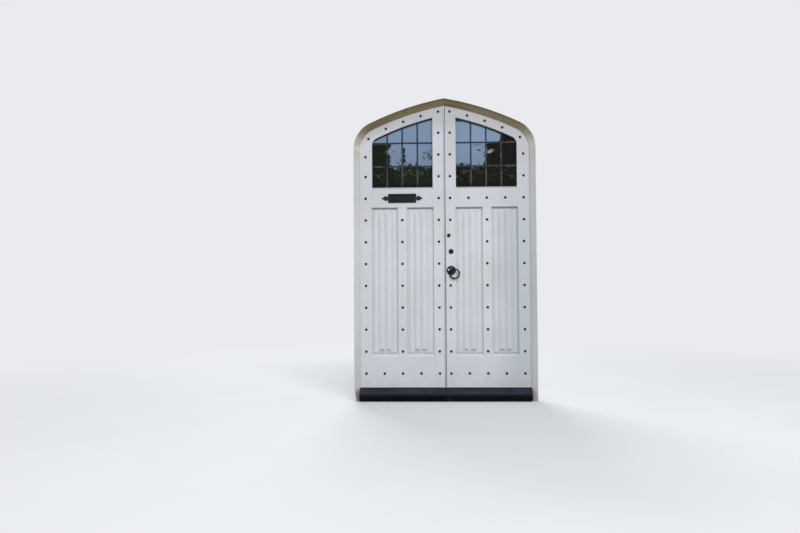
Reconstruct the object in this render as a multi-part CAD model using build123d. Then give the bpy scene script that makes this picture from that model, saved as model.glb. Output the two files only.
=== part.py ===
from build123d import *
import math
import os

os.makedirs("parts", exist_ok=True)

# Pair of arched timber door leaves in their own rebated frame, in millimetres
# Seen from outside: +X right, -Y towards the viewer, +Z up
# Origin: on the meeting line, on the sill's underside, in the plane of the leaves' outer faces
# Every side piece is drawn for the left (negative X) and mirrored for the right

# Opening between the frame's inner edges
half_span = 660.5
sight_foot = 95.0
springing = 1941.0
small_radius = 180.0
large_radius = 2210.0
junction_angle = 25.8

# Frame section
frame_width = 42.0
frame_proud = 50.0
splay_return = 8.0
splay_land = 4.0
lap = 10.0
jamb_foot = -8.0
worn_foot_width = 16.0
worn_foot_height = 95.0
fixing_depth = 34.0
fixing_radius = 4.0

# Gaps round the leaves
leaf_gap = 3.0
face_gap = 1.5
foot_gap = 5.0
meeting_gap = 4.0
meeting_bevel = 2.5
meeting_arris = 4.5
joint_clearance = 0.3

# Leaf framing
leaf_thickness = 57.0
hinge_stile_width = 98.0
meeting_stile_inner = 90.0
bottom_rail_height = 266.0
frieze_foot = 1488.0
frieze_height = 160.0
top_rail_width = 74.5
muntin_width = 80.0
tenon_front = 32.0
tenon_thickness = 16.0
tenon_length = 56.0
tenon_shoulder = 24.0
muntin_tenon_length = 40.0
muntin_tenon_width = 36.0

# Panels
panel_recess = 17.0
panel_thickness = 12.0
groove_depth = 8.0
edge_chamfer_depth = 13.0
side_chamfer = 6.0
foot_chamfer = 18.0
top_chamfer = 4.0

# Linenfold carving
inner_roll_width = 50.0
inner_roll_height = 11.0
outer_roll_width = 37.0
outer_roll_height = 7.0
roll_valley = 1.5
roll_spacing = 3.0
fold_foot_margin = 12.0
fold_top_margin = 24.0
scallop_radius = 20.0
scallop_slope = 0.8

# Leaded light
glazing_lip = 20.0
glazing_rebate = 14.0
came_width = 12.0
came_flange = 1.4
came_heart = 2.4
quarry_thickness = 4.0
quarry_clearance = 0.25
light_columns = 4
quarry_height = 184.0
first_quarry_sight = 165.0
bead_depth = 18.0
bead_chamfer = 5.0

# Studs
stud_radius = 10.0
stud_height = 6.0
stud_shank = 4.4
stud_shank_length = 22.0
stud_rim = 1.2
stud_first_column = 44.3
stud_edge_inset = 47.2
stud_columns = 5
stud_first_row = 107.0
frieze_stud_rise = 74.0
lower_row_count = 8
upper_row_count = 2
springing_stud_drop = 39.0
arch_stud_inset = 39.0
arch_stud_edge = 71.0
left_top_stud_drop = 14.0

# Sill
sill_front = 54.0
sill_nose_height = 52.0
sill_back_margin = 30.0
drip_width = 6.0
drip_depth = 5.0
drip_setback = 10.0

# Weather seals
seal_width = 4.0
seal_inset = 3.0
seal_depth = 4.0
seal_gap = 0.3
brush_place = 46.0
brush_width = 3.6
brush_depth = 5.0
brush_gap = 1.1

# Butt hinges
lower_hinge_rise = 165.0
upper_hinge_drop = 151.0
hinge_height = 100.0
hinge_leaf_thickness = 2.4
hinge_leaf_depth = 38.0
knuckle_radius = 6.0
knuckle_clearance = 0.3
knuckle_count = 5
knuckle_gap = 0.4
hinge_pin_radius = 3.0
hinge_pin_clearance = 0.08
finial_radius = 5.0
finial_length = 9.0

# Barrel bolts on the left leaf's inside
bolt_place = 46.0
bolt_standoff = 10.0
bolt_radius = 6.0
bolt_clearance = 0.3
bolt_length = 240.0
bolt_end_gap = 4.0
bolt_travel = 22.0
bolt_plate_width = 34.0
bolt_plate_length = 190.0
bolt_plate_thickness = 3.0
bolt_staple_width = 24.0
bolt_staple_height = 16.0
bolt_keep_height = 21.0
bolt_keep_thickness = 3.0
bolt_knob_radius = 5.0
bolt_knob_reach = 22.0

# Ring handle
handle_x = 49.0
handle_row_share = 0.682
rose_radius = 36.0
rose_floor = 2.0
rose_rim_height = 6.0
rose_rim_width = 6.0
ring_radius = 36.0
ring_wire = 5.5
ring_knop_radius = 7.0
ring_knop_angle = 65.0
ring_turn = 45.0
eye_bore_clearance = 0.5
eye_radius = 11.0
eye_thickness = 8.0
eye_standoff = 13.5
boss_radius = 8.0
spindle_side = 8.0
spindle_hole_radius = 6.5
knob_radius = 17.0
knob_reach = 30.0
knob_neck_radius = 8.0

# Sliding latches worked by a follower
follower_radius = 10.0
follower_reach = 21.5
follower_throw_radius = 20.0
follower_arm_width = 6.0
follower_thickness = 6.0
follower_swing = 45.0
latch_bolt_height = 14.0
latch_bolt_thickness = 8.0
latch_bolt_drop = 18.0
latch_bolt_length = 78.0
latch_notch_depth = 5.0
latch_notch_clearance = 0.4
latch_bolt_gap = 0.3
case_edge_setback = 1.5
case_guide_place = 60.0
case_width = 81.0
case_wall = 2.5
case_depth = 22.0
latch_case_height = 76.0
keep_width = 34.0
keep_depth = 18.0
keep_pocket = 12.0
keep_margin = 6.0

# Night latch
night_x = 32.0
night_row_share = 0.282
night_rim_radius = 14.5
night_rim_height = 4.5
night_body_radius = 12.0
night_plug_radius = 6.5
plug_clearance = 0.08
keyway_width = 2.0
keyway_height = 9.0
keyway_depth = 6.0
night_knob_x = 49.0
night_knob_rise = 14.0
night_case_height = 72.0
night_stem_radius = 4.0

# Mortice deadlock and its keyhole plates
lock_x = 49.0
lock_row_share = 0.547
escutcheon_radius = 19.5
escutcheon_thickness = 3.0
keyhole_radius = 4.6
keyhole_slot_width = 4.4
keyhole_slot_drop = 15.0
cover_radius = 15.0
cover_thickness = 2.5
cover_pivot_rise = 15.5
cover_pivot_radius = 2.2
cover_gap = 0.3
lock_case_width = 70.0
lock_case_height = 78.0
lock_case_thickness = 16.0
lock_case_front = 20.0
lock_case_rise = 8.0
forend_height = 110.0
forend_width = 20.0
forend_thickness = 2.5
forend_sinking = 0.7
deadbolt_height = 20.0
deadbolt_thickness = 11.0
deadbolt_rise = 23.0
deadbolt_length = 52.0
deadbolt_gap = 0.4
strike_height = 60.0
strike_pocket = 24.0

# Letter plate
letter_plate_length = 219.0
letter_plate_height = 70.0
letter_plate_thickness = 4.0
letter_tip_reach = 160.0
letter_neck = 12.0
letter_spear = 21.0
letter_aperture_length = 176.0
letter_aperture_height = 34.0
letter_flap_length = 198.0
letter_flap_height = 48.0
letter_flap_thickness = 3.0
letter_barrel_radius = 3.4
letter_pivot_radius = 1.8
letter_pivot_clearance = 0.08
letter_ear = 5.0
letter_ear_gap = 0.5
letter_gap = 0.4
inner_plate_margin = 8.0

# Worked-out places
leaf_edge = half_span + lap
rebate_edge = leaf_edge + leaf_gap
leaf_foot = sight_foot - lap
sill_floor = leaf_foot - foot_gap
bottom_rail_top = leaf_foot + bottom_rail_height
frieze_top = frieze_foot + frieze_height
hinge_stile_inner = half_span - hinge_stile_width
hinge_column = half_span - stud_edge_inset
muntin_place = (stud_first_column + hinge_column) / 2
stud_column_pitch = (hinge_column - stud_first_column) / (stud_columns - 1)
arch_stud_pitch = (half_span - arch_stud_edge - stud_first_column) / (stud_columns - 1)
first_row = sight_foot + stud_first_row
frieze_row = frieze_foot + frieze_stud_rise
lower_row_pitch = (frieze_row - first_row) / lower_row_count
upper_row_pitch = (springing - springing_stud_drop - frieze_row) / upper_row_count
handle_z = first_row + lower_row_pitch * (4 + handle_row_share)
lock_z = first_row + lower_row_pitch * (5 + lock_row_share)
night_z = first_row + lower_row_pitch * (6 + night_row_share)
night_knob_z = night_z + night_knob_rise
lower_hinge = leaf_foot + lower_hinge_rise
upper_hinge = springing - upper_hinge_drop
middle_hinge = (lower_hinge + upper_hinge) / 2
hinge_heights = (lower_hinge, middle_hinge, upper_hinge)
fixing_heights = ((lower_hinge + middle_hinge) / 2, (middle_hinge + upper_hinge) / 2)
letter_x = -muntin_place
letter_z = frieze_row
hinge_axis_x = leaf_edge + leaf_gap / 2
hinge_axis_y = leaf_thickness + knuckle_radius + knuckle_clearance
light_pitch = (hinge_stile_inner - meeting_stile_inner) / light_columns
tall = springing + large_radius

junction = math.radians(junction_angle)
small_centre = (small_radius - half_span, springing)
large_centre = (
    small_centre[0] + (large_radius - small_radius) * math.sin(junction),
    springing - (large_radius - small_radius) * math.cos(junction),
)


# Small helpers for drawing in the plane of the door
def on_arc(centre, radius, angle):
    """Point at an angle in radians from the vertical, turning to the left."""
    return (centre[0] - radius * math.sin(angle), centre[1] + radius * math.cos(angle))


def large_angle(x, offset):
    """Angle on the large arc, offset outwards, where it crosses x."""
    return math.asin((large_centre[0] - x) / (large_radius + offset))


def arch_height(x, offset):
    """Height of the large arc, offset outwards, at x."""
    return on_arc(large_centre, large_radius + offset, large_angle(x, offset))[1]


def rectangle(x0, x1, z0, z1):
    """Rectangle between two corners."""
    return Pos((x0 + x1) / 2, (z0 + z1) / 2) * Rectangle(abs(x1 - x0), abs(z1 - z0))


def polygon(points):
    """Closed polygon face."""
    return make_face(Polyline(*points, close=True))


def arch_region(offset):
    """Left half of the arched opening, offset outwards."""
    side = -(half_span + offset)
    small = small_radius + offset
    large = large_radius + offset
    crown = large_angle(0, offset)
    start = (side, springing)
    meet = on_arc(small_centre, small, junction)
    top = on_arc(large_centre, large, crown)
    haunch = on_arc(small_centre, small, (math.pi / 2 + junction) / 2)
    shoulder = on_arc(large_centre, large, (junction + crown) / 2)
    edges = Line((0, 0), (side, 0)) + Line((side, 0), start)
    edges += ThreePointArc(start, haunch, meet)
    edges += ThreePointArc(meet, shoulder, top)
    edges += Line(top, (0, 0))
    return make_face(edges)


def slab(outline, y0, y1):
    """Outline drawn in X and Z, made solid from y0 back to y1."""
    return extrude(Plane.XZ.offset(-y1) * outline, amount=y1 - y0, dir=(0, -1, 0))


def block(x0, x1, y0, y1, z0, z1):
    """Square-edged block between two corners."""
    size = (abs(x1 - x0), abs(y1 - y0), abs(z1 - z0))
    return Pos((x0 + x1) / 2, (y0 + y1) / 2, (z0 + z1) / 2) * Box(*size)


def post(points, z0, z1):
    """Section drawn in X and Y, made solid from z0 up to z1."""
    return extrude(Plane.XY.offset(z0) * polygon(points), amount=z1 - z0, dir=(0, 0, 1))


def bar(points, x0, x1):
    """Section drawn in Y and Z, made solid from x0 to x1."""
    return extrude(Plane.YZ.offset(x0) * polygon(points), amount=x1 - x0, dir=(1, 0, 0))


def rod_y(x, z, radius, y0, y1):
    """Cylinder along Y."""
    return Pos(x, (y0 + y1) / 2, z) * Rot(90, 0, 0) * Cylinder(radius, y1 - y0)


def rod_x(y, z, radius, x0, x1):
    """Cylinder along X."""
    return Pos((x0 + x1) / 2, y, z) * Rot(0, 90, 0) * Cylinder(radius, x1 - x0)


def rod_z(x, y, radius, z0, z1):
    """Cylinder along Z."""
    return Pos(x, y, (z0 + z1) / 2) * Cylinder(radius, z1 - z0)


def turned(points, x, z):
    """Profile of radius and Y, turned about a line along Y through x and z."""
    profile = Plane.XY * polygon(points)
    return Pos(x, 0, z) * revolve(profile, axis=Axis.Y)


def mirrored(solid):
    """The same piece on the other side of the meeting line."""
    return mirror(solid, about=Plane.YZ)


def save(name, *solids):
    """Write one node, of one or more separate solids."""
    pieces = [piece for solid in solids for piece in solid.solids()]
    shape = pieces[0] if len(pieces) == 1 else Compound(pieces)
    export_step(shape, f"parts/{name}.step")


# Frame
def frame_section():
    """Section of jambs and head: distance out from the sight edge, and Y."""
    groove_far = seal_inset + seal_width
    groove_floor = -face_gap - seal_depth + seal_gap
    return (
        (0, -face_gap),
        (0, -splay_return),
        (frame_width - splay_land, -frame_proud),
        (frame_width, -frame_proud),
        (frame_width, leaf_thickness),
        (lap + leaf_gap, leaf_thickness),
        (lap + leaf_gap, -face_gap),
        (groove_far, -face_gap),
        (groove_far, groove_floor),
        (seal_inset, groove_floor),
        (seal_inset, -face_gap),
    )


def seal_section():
    """Section of the seal that fills the groove in the frame's stop."""
    near = seal_inset
    far = seal_inset + seal_width
    back = -face_gap - seal_depth + seal_gap
    return ((near, back), (near, -seal_gap), (far, -seal_gap), (far, back))


def straight_member(section, z0, z1):
    """Upright length of a frame section on the left side."""
    return post([(-(half_span + out), y) for out, y in section], z0, z1)


def curved_member(section, centre, radius, start, end):
    """Length of a frame section bent round one arc, from angle start down to end."""
    radial = (-math.sin(start), 0, math.cos(start))
    across = (-math.cos(start), 0, -math.sin(start))
    plane = Plane(origin=(centre[0], 0, centre[1]), x_dir=radial, z_dir=across)
    profile = plane * polygon([(radius + out, y) for out, y in section])
    axis = Axis((centre[0], 0, centre[1]), (0, 1, 0))
    return revolve(profile, axis=axis, revolution_arc=math.degrees(start - end))


def arched_member(section):
    """Frame section from the springing to the point of the arch, cut on the meeting line."""
    past_crown = math.radians(3)
    crown = large_angle(0, frame_width) - past_crown
    haunch = curved_member(section, small_centre, small_radius, math.pi / 2, junction)
    shoulder = curved_member(section, large_centre, large_radius, junction, crown)
    keep_left = block(-tall, 0, -tall, tall, 0, 2 * tall)
    return (haunch + shoulder) & keep_left


def jamb_tenon(clearance):
    """Tenon that joins a jamb to the curved head."""
    middle = (lap + leaf_gap + frame_width) / 2
    half_width = 5.5
    x0 = -(half_span + middle + half_width + clearance)
    x1 = -(half_span + middle - half_width - clearance)
    return block(x0, x1, 12 - clearance, 45 + clearance, springing, springing + 30 + clearance)


def hinge_recess(inner, outer):
    """Shallow recesses for hinge leaves between two distances from the centre."""
    front = leaf_thickness - hinge_leaf_depth
    reach = hinge_height / 2
    cuts = [block(-outer, -inner, front, leaf_thickness, z - reach, z + reach) for z in hinge_heights]
    return Compound(cuts)


def make_jamb():
    """Left jamb with its tenon and hinge recesses."""
    jamb = straight_member(frame_section(), jamb_foot, springing)
    jamb += jamb_tenon(0)
    for z in fixing_heights:
        jamb -= rod_x(fixing_depth, z, fixing_radius, -half_span - frame_width, -rebate_edge)
    return jamb - hinge_recess(rebate_edge, rebate_edge + hinge_leaf_thickness)


def worn_foot():
    """Wedge that wear has taken off the outer corner of the left jamb's foot."""
    outer = -(half_span + frame_width)
    outline = polygon(
        (
            (outer, jamb_foot),
            (outer + worn_foot_width, jamb_foot),
            (outer, jamb_foot + worn_foot_height),
        )
    )
    return slab(outline, -frame_proud, leaf_thickness)


def make_head():
    """Left half of the curved head, morticed for the jamb."""
    return arched_member(frame_section()) - jamb_tenon(joint_clearance)


def make_frame_seal():
    """Left run of the seal, from the sill's floor to the point of the arch."""
    return straight_member(seal_section(), sill_floor, springing) + arched_member(seal_section())


def make_sill():
    """Sill with a sloped nose, an upstand, a level floor under the leaves and a drip groove."""
    nose = (
        (-sill_front, 0),
        (-sill_front, sill_nose_height),
        (-splay_return, sight_foot),
        (-face_gap, sight_foot),
        (-face_gap, 0),
    )
    back = leaf_thickness + sill_back_margin
    floor = ((-face_gap, 0), (-face_gap, sill_floor), (back, sill_floor), (back, 0))
    drip_front = -sill_front + drip_setback
    drip = (
        (drip_front, 0),
        (drip_front, drip_depth),
        (drip_front + drip_width, drip_depth),
        (drip_front + drip_width, 0),
    )
    sill = bar(nose, -half_span, half_span) + bar(floor, -rebate_edge, rebate_edge)
    sill -= bar(drip, -half_span, half_span)
    sill -= sill_keep_plate(0)
    bolt_y = leaf_thickness + bolt_standoff
    socket_foot = sill_floor - bolt_end_gap - bolt_travel - foot_gap
    return sill - rod_z(-bolt_place, bolt_y, bolt_radius + bolt_clearance, socket_foot, sill_floor)


def sill_keep_plate(bore):
    """Keep plate let into the sill's floor for the lower bolt."""
    bolt_y = leaf_thickness + bolt_standoff
    half = bolt_plate_width / 2
    plate = block(
        -bolt_place - half,
        -bolt_place + half,
        bolt_y - half,
        bolt_y + half,
        sill_floor - bolt_keep_thickness,
        sill_floor,
    )
    if bore:
        plate -= rod_z(-bolt_place, bolt_y, bore, sill_floor - bolt_keep_thickness, sill_floor)
    return plate


def head_keep():
    """Keep block on the back of the head for the upper bolt."""
    bolt_y = leaf_thickness + bolt_standoff
    half = bolt_plate_width / 2
    low = arch_height(-bolt_place + half, lap + leaf_gap) + bolt_clearance
    keep = block(
        -bolt_place - half,
        -bolt_place + half,
        leaf_thickness,
        bolt_y + bolt_radius + bolt_plate_thickness,
        low,
        low + bolt_keep_height,
    )
    return keep - rod_z(-bolt_place, bolt_y, bolt_radius + bolt_clearance, low, low + bolt_keep_height)


# Butt hinges
def hinge_knuckles(z, first):
    """Every second knuckle of one hinge, starting from the first."""
    step = hinge_height / knuckle_count
    knuckles = []
    for number in range(first, knuckle_count, 2):
        z0 = z - hinge_height / 2 + number * step + knuckle_gap / 2
        z1 = z0 + step - knuckle_gap
        knuckles.append((z0, z1))
    return knuckles


def hinge_half(z, inner, outer, first):
    """One leaf of a butt hinge, between two distances from the centre, with its knuckles."""
    front = leaf_thickness - hinge_leaf_depth
    reach = hinge_height / 2
    half = block(-outer, -inner, front, leaf_thickness, z - reach, z + reach)
    for z0, z1 in hinge_knuckles(z, first):
        half += block(-outer, -inner, leaf_thickness, hinge_axis_y, z0, z1)
        half += rod_z(-hinge_axis_x, hinge_axis_y, knuckle_radius, z0, z1)
    bore = hinge_pin_radius + hinge_pin_clearance
    return half - rod_z(-hinge_axis_x, hinge_axis_y, bore, z - reach, z + reach)


def hinge_pin(z):
    """Hinge pin with a tapered finial at each end."""
    reach = hinge_height / 2
    profile = (
        (0, -reach - finial_length),
        (finial_radius * 0.4, -reach - finial_length),
        (finial_radius, -reach - finial_length / 3),
        (finial_radius, -reach),
        (hinge_pin_radius, -reach),
        (hinge_pin_radius, reach),
        (finial_radius, reach),
        (finial_radius, reach + finial_length / 3),
        (finial_radius * 0.4, reach + finial_length),
        (0, reach + finial_length),
    )
    pin = revolve(Plane.XZ * polygon(profile), axis=Axis.Z)
    return Pos(-hinge_axis_x, hinge_axis_y, z) * pin


# Leaf framing, drawn for the left leaf
def panel_openings():
    """Left and right edges of the outer and inner panel openings, behind their chamfers."""
    half = muntin_width / 2
    outer = (-hinge_stile_inner, -muntin_place - half)
    inner = (-muntin_place + half, -meeting_stile_inner)
    return (outer, inner)


def panel_chamfers():
    """Sloped edges round both panel openings, wider at the foot."""
    cuts = []
    for x0, x1 in panel_openings():
        face = rectangle(x0 - side_chamfer, x1 + side_chamfer, bottom_rail_top - foot_chamfer, frieze_foot + top_chamfer)
        deep = rectangle(x0, x1, bottom_rail_top, frieze_foot)
        cuts.append(loft([(Plane.XZ * face).face(), (Plane.XZ.offset(-edge_chamfer_depth) * deep).face()]))
    return Compound(cuts)


def panel_grooves():
    """Grooves that hold the panels' edges."""
    y0 = panel_recess - joint_clearance
    y1 = panel_recess + panel_thickness + joint_clearance
    cuts = []
    for x0, x1 in panel_openings():
        outline = rectangle(x0 - groove_depth, x1 + groove_depth, bottom_rail_top - groove_depth, frieze_foot + groove_depth)
        cuts.append(slab(outline, y0, y1))
    return Compound(cuts)


def light_region(offset):
    """Outline of the leaded light, offset outwards."""
    sides = rectangle(-hinge_stile_inner - offset, -meeting_stile_inner + offset, frieze_top - offset, tall)
    return arch_region(offset - top_rail_width) & sides


def glazing_pocket():
    """Rebate on the inside for the leaded light and its beads."""
    return slab(light_region(glazing_rebate), glazing_lip, leaf_thickness)


def rail_tenons(z0, z1, clearance):
    """Pair of tenons at the ends of a rail, between two heights."""
    y0 = tenon_front - clearance
    y1 = tenon_front + tenon_thickness + clearance
    reach = tenon_length + clearance
    outer = block(-hinge_stile_inner - reach, -hinge_stile_inner, y0, y1, z0 - clearance, z1 + clearance)
    inner = block(-meeting_stile_inner, -meeting_stile_inner + reach, y0, y1, z0 - clearance, z1 + clearance)
    return Compound([outer, inner])


def bottom_tenons(clearance):
    """Tenons of the bottom rail."""
    return rail_tenons(leaf_foot + tenon_shoulder, bottom_rail_top - tenon_shoulder, clearance)


def frieze_tenons(clearance):
    """Tenons of the frieze rail."""
    return rail_tenons(frieze_foot + tenon_shoulder, frieze_top - tenon_shoulder, clearance)


def top_rail_tenon(clearance):
    """Tenon of the arched top rail in the meeting stile."""
    low = arch_height(-meeting_stile_inner, -top_rail_width) + tenon_shoulder
    high = arch_height(-meeting_stile_inner, lap) - tenon_shoulder
    return block(
        -meeting_stile_inner,
        -meeting_stile_inner + tenon_length + clearance,
        tenon_front - clearance,
        tenon_front + tenon_thickness + clearance,
        low - clearance,
        high + clearance,
    )


def stile_tenon(clearance):
    """Tenon of the hinge stile in the foot of the arched top rail."""
    return block(
        -leaf_edge + tenon_shoulder - clearance,
        -hinge_stile_inner - tenon_shoulder + clearance,
        tenon_front - clearance,
        tenon_front + tenon_thickness + clearance,
        springing,
        springing + muntin_tenon_length + clearance,
    )


def muntin_tenons(clearance):
    """Tenons at both ends of the muntin."""
    half = muntin_tenon_width / 2 + clearance
    y0 = tenon_front - clearance
    y1 = tenon_front + tenon_thickness + clearance
    reach = muntin_tenon_length + clearance
    low = block(-muntin_place - half, -muntin_place + half, y0, y1, bottom_rail_top - reach, bottom_rail_top)
    high = block(-muntin_place - half, -muntin_place + half, y0, y1, frieze_foot, frieze_foot + reach)
    return Compound([low, high])


def meeting_edge_x(y):
    """Bevelled meeting edge of the left leaf at a depth."""
    return -meeting_gap / 2 - meeting_bevel * (leaf_thickness - y) / leaf_thickness


def meeting_bevel_cut():
    """Everything past the bevelled meeting edge and its arris."""
    far = leaf_thickness
    arris = meeting_edge_x(0) - meeting_arris
    corner = ((arris - far, -far), (arris + far, far), (arris + far, -far))
    points = ((meeting_edge_x(-far), -far), (meeting_edge_x(2 * far), 2 * far), (far, 2 * far), (far, -far))
    return post(points, 0, tall) + post(corner, 0, tall)


def stud_shank_holes(places):
    """Square holes for the studs' shanks."""
    half = stud_shank / 2 + joint_clearance
    depth = stud_shank_length + joint_clearance
    return Compound([block(x - half, x + half, 0, depth, z - half, z + half) for x, z in places])


def make_hinge_stile(holes):
    """Hinge stile, tenoned into the arched top rail."""
    stile = slab(rectangle(-leaf_edge, -hinge_stile_inner, leaf_foot, springing), 0, leaf_thickness)
    stile += stile_tenon(0)
    stile -= bottom_tenons(joint_clearance)
    stile -= frieze_tenons(joint_clearance)
    stile -= panel_chamfers()
    stile -= panel_grooves()
    stile -= glazing_pocket()
    stile -= hinge_recess(leaf_edge - hinge_leaf_thickness, leaf_edge)
    return stile - holes


def make_meeting_stile(holes):
    """Meeting stile with a bevelled edge, its head cut to the arch."""
    outline = arch_region(lap) & rectangle(-meeting_stile_inner, 0, leaf_foot, tall)
    stile = slab(outline, 0, leaf_thickness)
    stile -= meeting_bevel_cut()
    stile -= bottom_tenons(joint_clearance)
    stile -= frieze_tenons(joint_clearance)
    stile -= top_rail_tenon(joint_clearance)
    stile -= panel_chamfers()
    stile -= panel_grooves()
    stile -= glazing_pocket()
    return stile - holes


def make_bottom_rail(holes):
    """Bottom rail, weathered under the panels."""
    outline = rectangle(-hinge_stile_inner, -meeting_stile_inner, leaf_foot, bottom_rail_top)
    rail = slab(outline, 0, leaf_thickness)
    rail += bottom_tenons(0).solids()
    rail -= muntin_tenons(joint_clearance)
    rail -= panel_chamfers()
    rail -= panel_grooves()
    return rail - holes


def make_frieze_rail(holes):
    """Rail between the panels and the leaded light."""
    outline = rectangle(-hinge_stile_inner, -meeting_stile_inner, frieze_foot, frieze_top)
    rail = slab(outline, 0, leaf_thickness)
    rail += frieze_tenons(0).solids()
    rail -= muntin_tenons(joint_clearance)
    rail -= panel_chamfers()
    rail -= panel_grooves()
    rail -= glazing_pocket()
    return rail - holes


def make_top_rail(holes):
    """Arched top rail, from the springing to the meeting stile."""
    outline = arch_region(lap) & rectangle(-leaf_edge, -meeting_stile_inner, springing, tall)
    outline -= light_region(0)
    rail = slab(outline, 0, leaf_thickness)
    rail += top_rail_tenon(0)
    rail -= stile_tenon(joint_clearance)
    rail -= glazing_pocket()
    return rail - holes


def make_muntin(holes):
    """Short upright between the two panels."""
    half = muntin_width / 2
    outline = rectangle(-muntin_place - half, -muntin_place + half, bottom_rail_top, frieze_foot)
    muntin = slab(outline, 0, leaf_thickness)
    muntin += muntin_tenons(0).solids()
    muntin -= panel_chamfers()
    muntin -= panel_grooves()
    return muntin - holes


# Linenfold panels
def roll_profile(centre):
    """Section of the carved folds: two high rolls between two lower ones, as arcs."""
    half_valley = roll_spacing / 2
    inner_end = half_valley + inner_roll_width
    outer_start = inner_end + roll_spacing
    outer_end = outer_start + outer_roll_width
    ground = panel_recess
    valley = ground - roll_valley
    inner_top = ground - inner_roll_height
    outer_top = ground - outer_roll_height

    def place(side, distance):
        return centre + side * distance

    edges = Line((place(-1, outer_end), ground), (place(1, outer_end), ground))
    for side in (-1, 1):
        outer_mid = (outer_start + outer_end) / 2
        inner_mid = (half_valley + inner_end) / 2
        edges += ThreePointArc(
            (place(side, outer_end), ground),
            (place(side, outer_mid), outer_top),
            (place(side, outer_start), valley),
        )
        edges += Line((place(side, outer_start), valley), (place(side, inner_end), valley))
        edges += ThreePointArc(
            (place(side, inner_end), valley),
            (place(side, inner_mid), inner_top),
            (place(side, half_valley), valley),
        )
    edges += Line((place(-1, half_valley), valley), (place(1, half_valley), valley))
    return make_face(edges)


def fold_scallops(centre, edge):
    """Hollows at one end of both high rolls, round on the board and sloping out to the face."""
    reach = inner_roll_height + 2
    wide = scallop_radius + scallop_slope * reach
    hollows = []
    for side in (-1, 1):
        middle = centre + side * (roll_spacing + inner_roll_width) / 2
        gouge = Rot(90, 0, 0) * Cone(scallop_radius, wide, reach)
        hollows.append(Pos(middle, panel_recess - reach / 2, edge) * gouge)
    return Compound(hollows)


def make_panel(x0, x1):
    """One linenfold panel: a flat board with the folds standing on its face."""
    reach = groove_depth - joint_clearance
    board = slab(
        rectangle(x0 - reach, x1 + reach, bottom_rail_top - reach, frieze_foot + reach),
        panel_recess,
        panel_recess + panel_thickness,
    )
    centre = (x0 + x1) / 2
    z0 = bottom_rail_top + fold_foot_margin
    z1 = frieze_foot - fold_top_margin
    folds = extrude(Plane.XY.offset(z0) * roll_profile(centre), amount=z1 - z0, dir=(0, 0, 1))
    folds -= fold_scallops(centre, z0)
    folds -= fold_scallops(centre, z1)
    return board + folds


# Leaded light
def came_lines(width):
    """Upright and level strips between the quarries, of a given width."""
    strips = Sketch()
    for column in range(1, light_columns):
        x = -meeting_stile_inner - column * light_pitch
        strips += rectangle(x - width / 2, x + width / 2, frieze_top - glazing_rebate, tall)
    z = frieze_top + first_quarry_sight
    while z < arch_height(-meeting_stile_inner, -top_rail_width) - came_width:
        strips += rectangle(-leaf_edge, 0, z - width / 2, z + width / 2)
        z += quarry_height
    return strips


def light_depths():
    """Y of the lattice's front face, both flange backs and its back face."""
    front = glazing_lip + joint_clearance
    heart = front + came_flange
    back_flange = heart + quarry_thickness + 2 * quarry_clearance
    return (front, heart, back_flange, back_flange + came_flange)


def make_leadwork():
    """Lattice of lead cames with a flanged section, and a border came."""
    edge = glazing_rebate - joint_clearance
    whole = light_region(edge)
    flanges = (came_lines(came_width) & whole) + (whole - light_region(edge - came_width))
    hearts = (came_lines(came_heart) & whole) + (whole - light_region(edge - came_heart))
    y0, y1, y2, y3 = light_depths()
    return slab(flanges, y0, y1) + slab(hearts, y1, y2) + slab(flanges, y2, y3)


def make_quarries():
    """Glass quarries held between the flanges of the cames."""
    inside = light_region(glazing_rebate - joint_clearance - came_heart - quarry_clearance)
    panes = inside - came_lines(came_heart + 2 * quarry_clearance)
    y0, y1, y2, y3 = light_depths()
    return slab(panes, y1 + quarry_clearance, y2 - quarry_clearance)


def make_beads():
    """Glazing beads on the inside: sill bead, two side beads and the arched top bead."""
    y0 = light_depths()[3] + joint_clearance
    y1 = y0 + bead_depth
    outer = light_region(glazing_rebate - joint_clearance)
    ring = slab(outer - light_region(0), y0, y1)
    narrow = light_region(bead_chamfer)
    ring -= slab(narrow, y1 - bead_chamfer, y1)
    side_left = rectangle(-leaf_edge, -hinge_stile_inner, 0, tall)
    side_right = rectangle(-meeting_stile_inner, 0, 0, tall)
    middle = rectangle(-hinge_stile_inner, -meeting_stile_inner, 0, frieze_top)
    crown = rectangle(-hinge_stile_inner, -meeting_stile_inner, frieze_top, tall)
    return [ring & slab(part, y0, y1) for part in (side_left, side_right, middle, crown)]


# Studs
def arch_stud(x):
    """Place of a stud on the arched top rail at x."""
    radius = large_radius - arch_stud_inset
    angle = math.asin((large_centre[0] - x) / radius)
    if angle <= junction:
        return on_arc(large_centre, radius, angle)
    small = small_radius - arch_stud_inset
    return on_arc(small_centre, small, math.asin((small_centre[0] - x) / small))


def stud_places(meeting_rows, frieze_columns, top_stud_drop):
    """Centres of one leaf's studs, for the left side."""
    columns = [-(stud_first_column + stud_column_pitch * number) for number in range(stud_columns)]

    def row(number):
        if number <= lower_row_count:
            return first_row + lower_row_pitch * number
        return frieze_row + upper_row_pitch * (number - lower_row_count)

    places = [(x, row(0)) for x in columns]
    places += [(columns[4], row(number)) for number in range(1, 10)]
    places.append((columns[4], row(10) - top_stud_drop))
    places += [(columns[2], row(number)) for number in range(1, 8)]
    places += [(columns[0], row(number)) for number in meeting_rows]
    places += [(columns[number], row(8)) for number in frieze_columns]
    places += [arch_stud(-(stud_first_column + arch_stud_pitch * number)) for number in range(stud_columns)]
    return places


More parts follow.
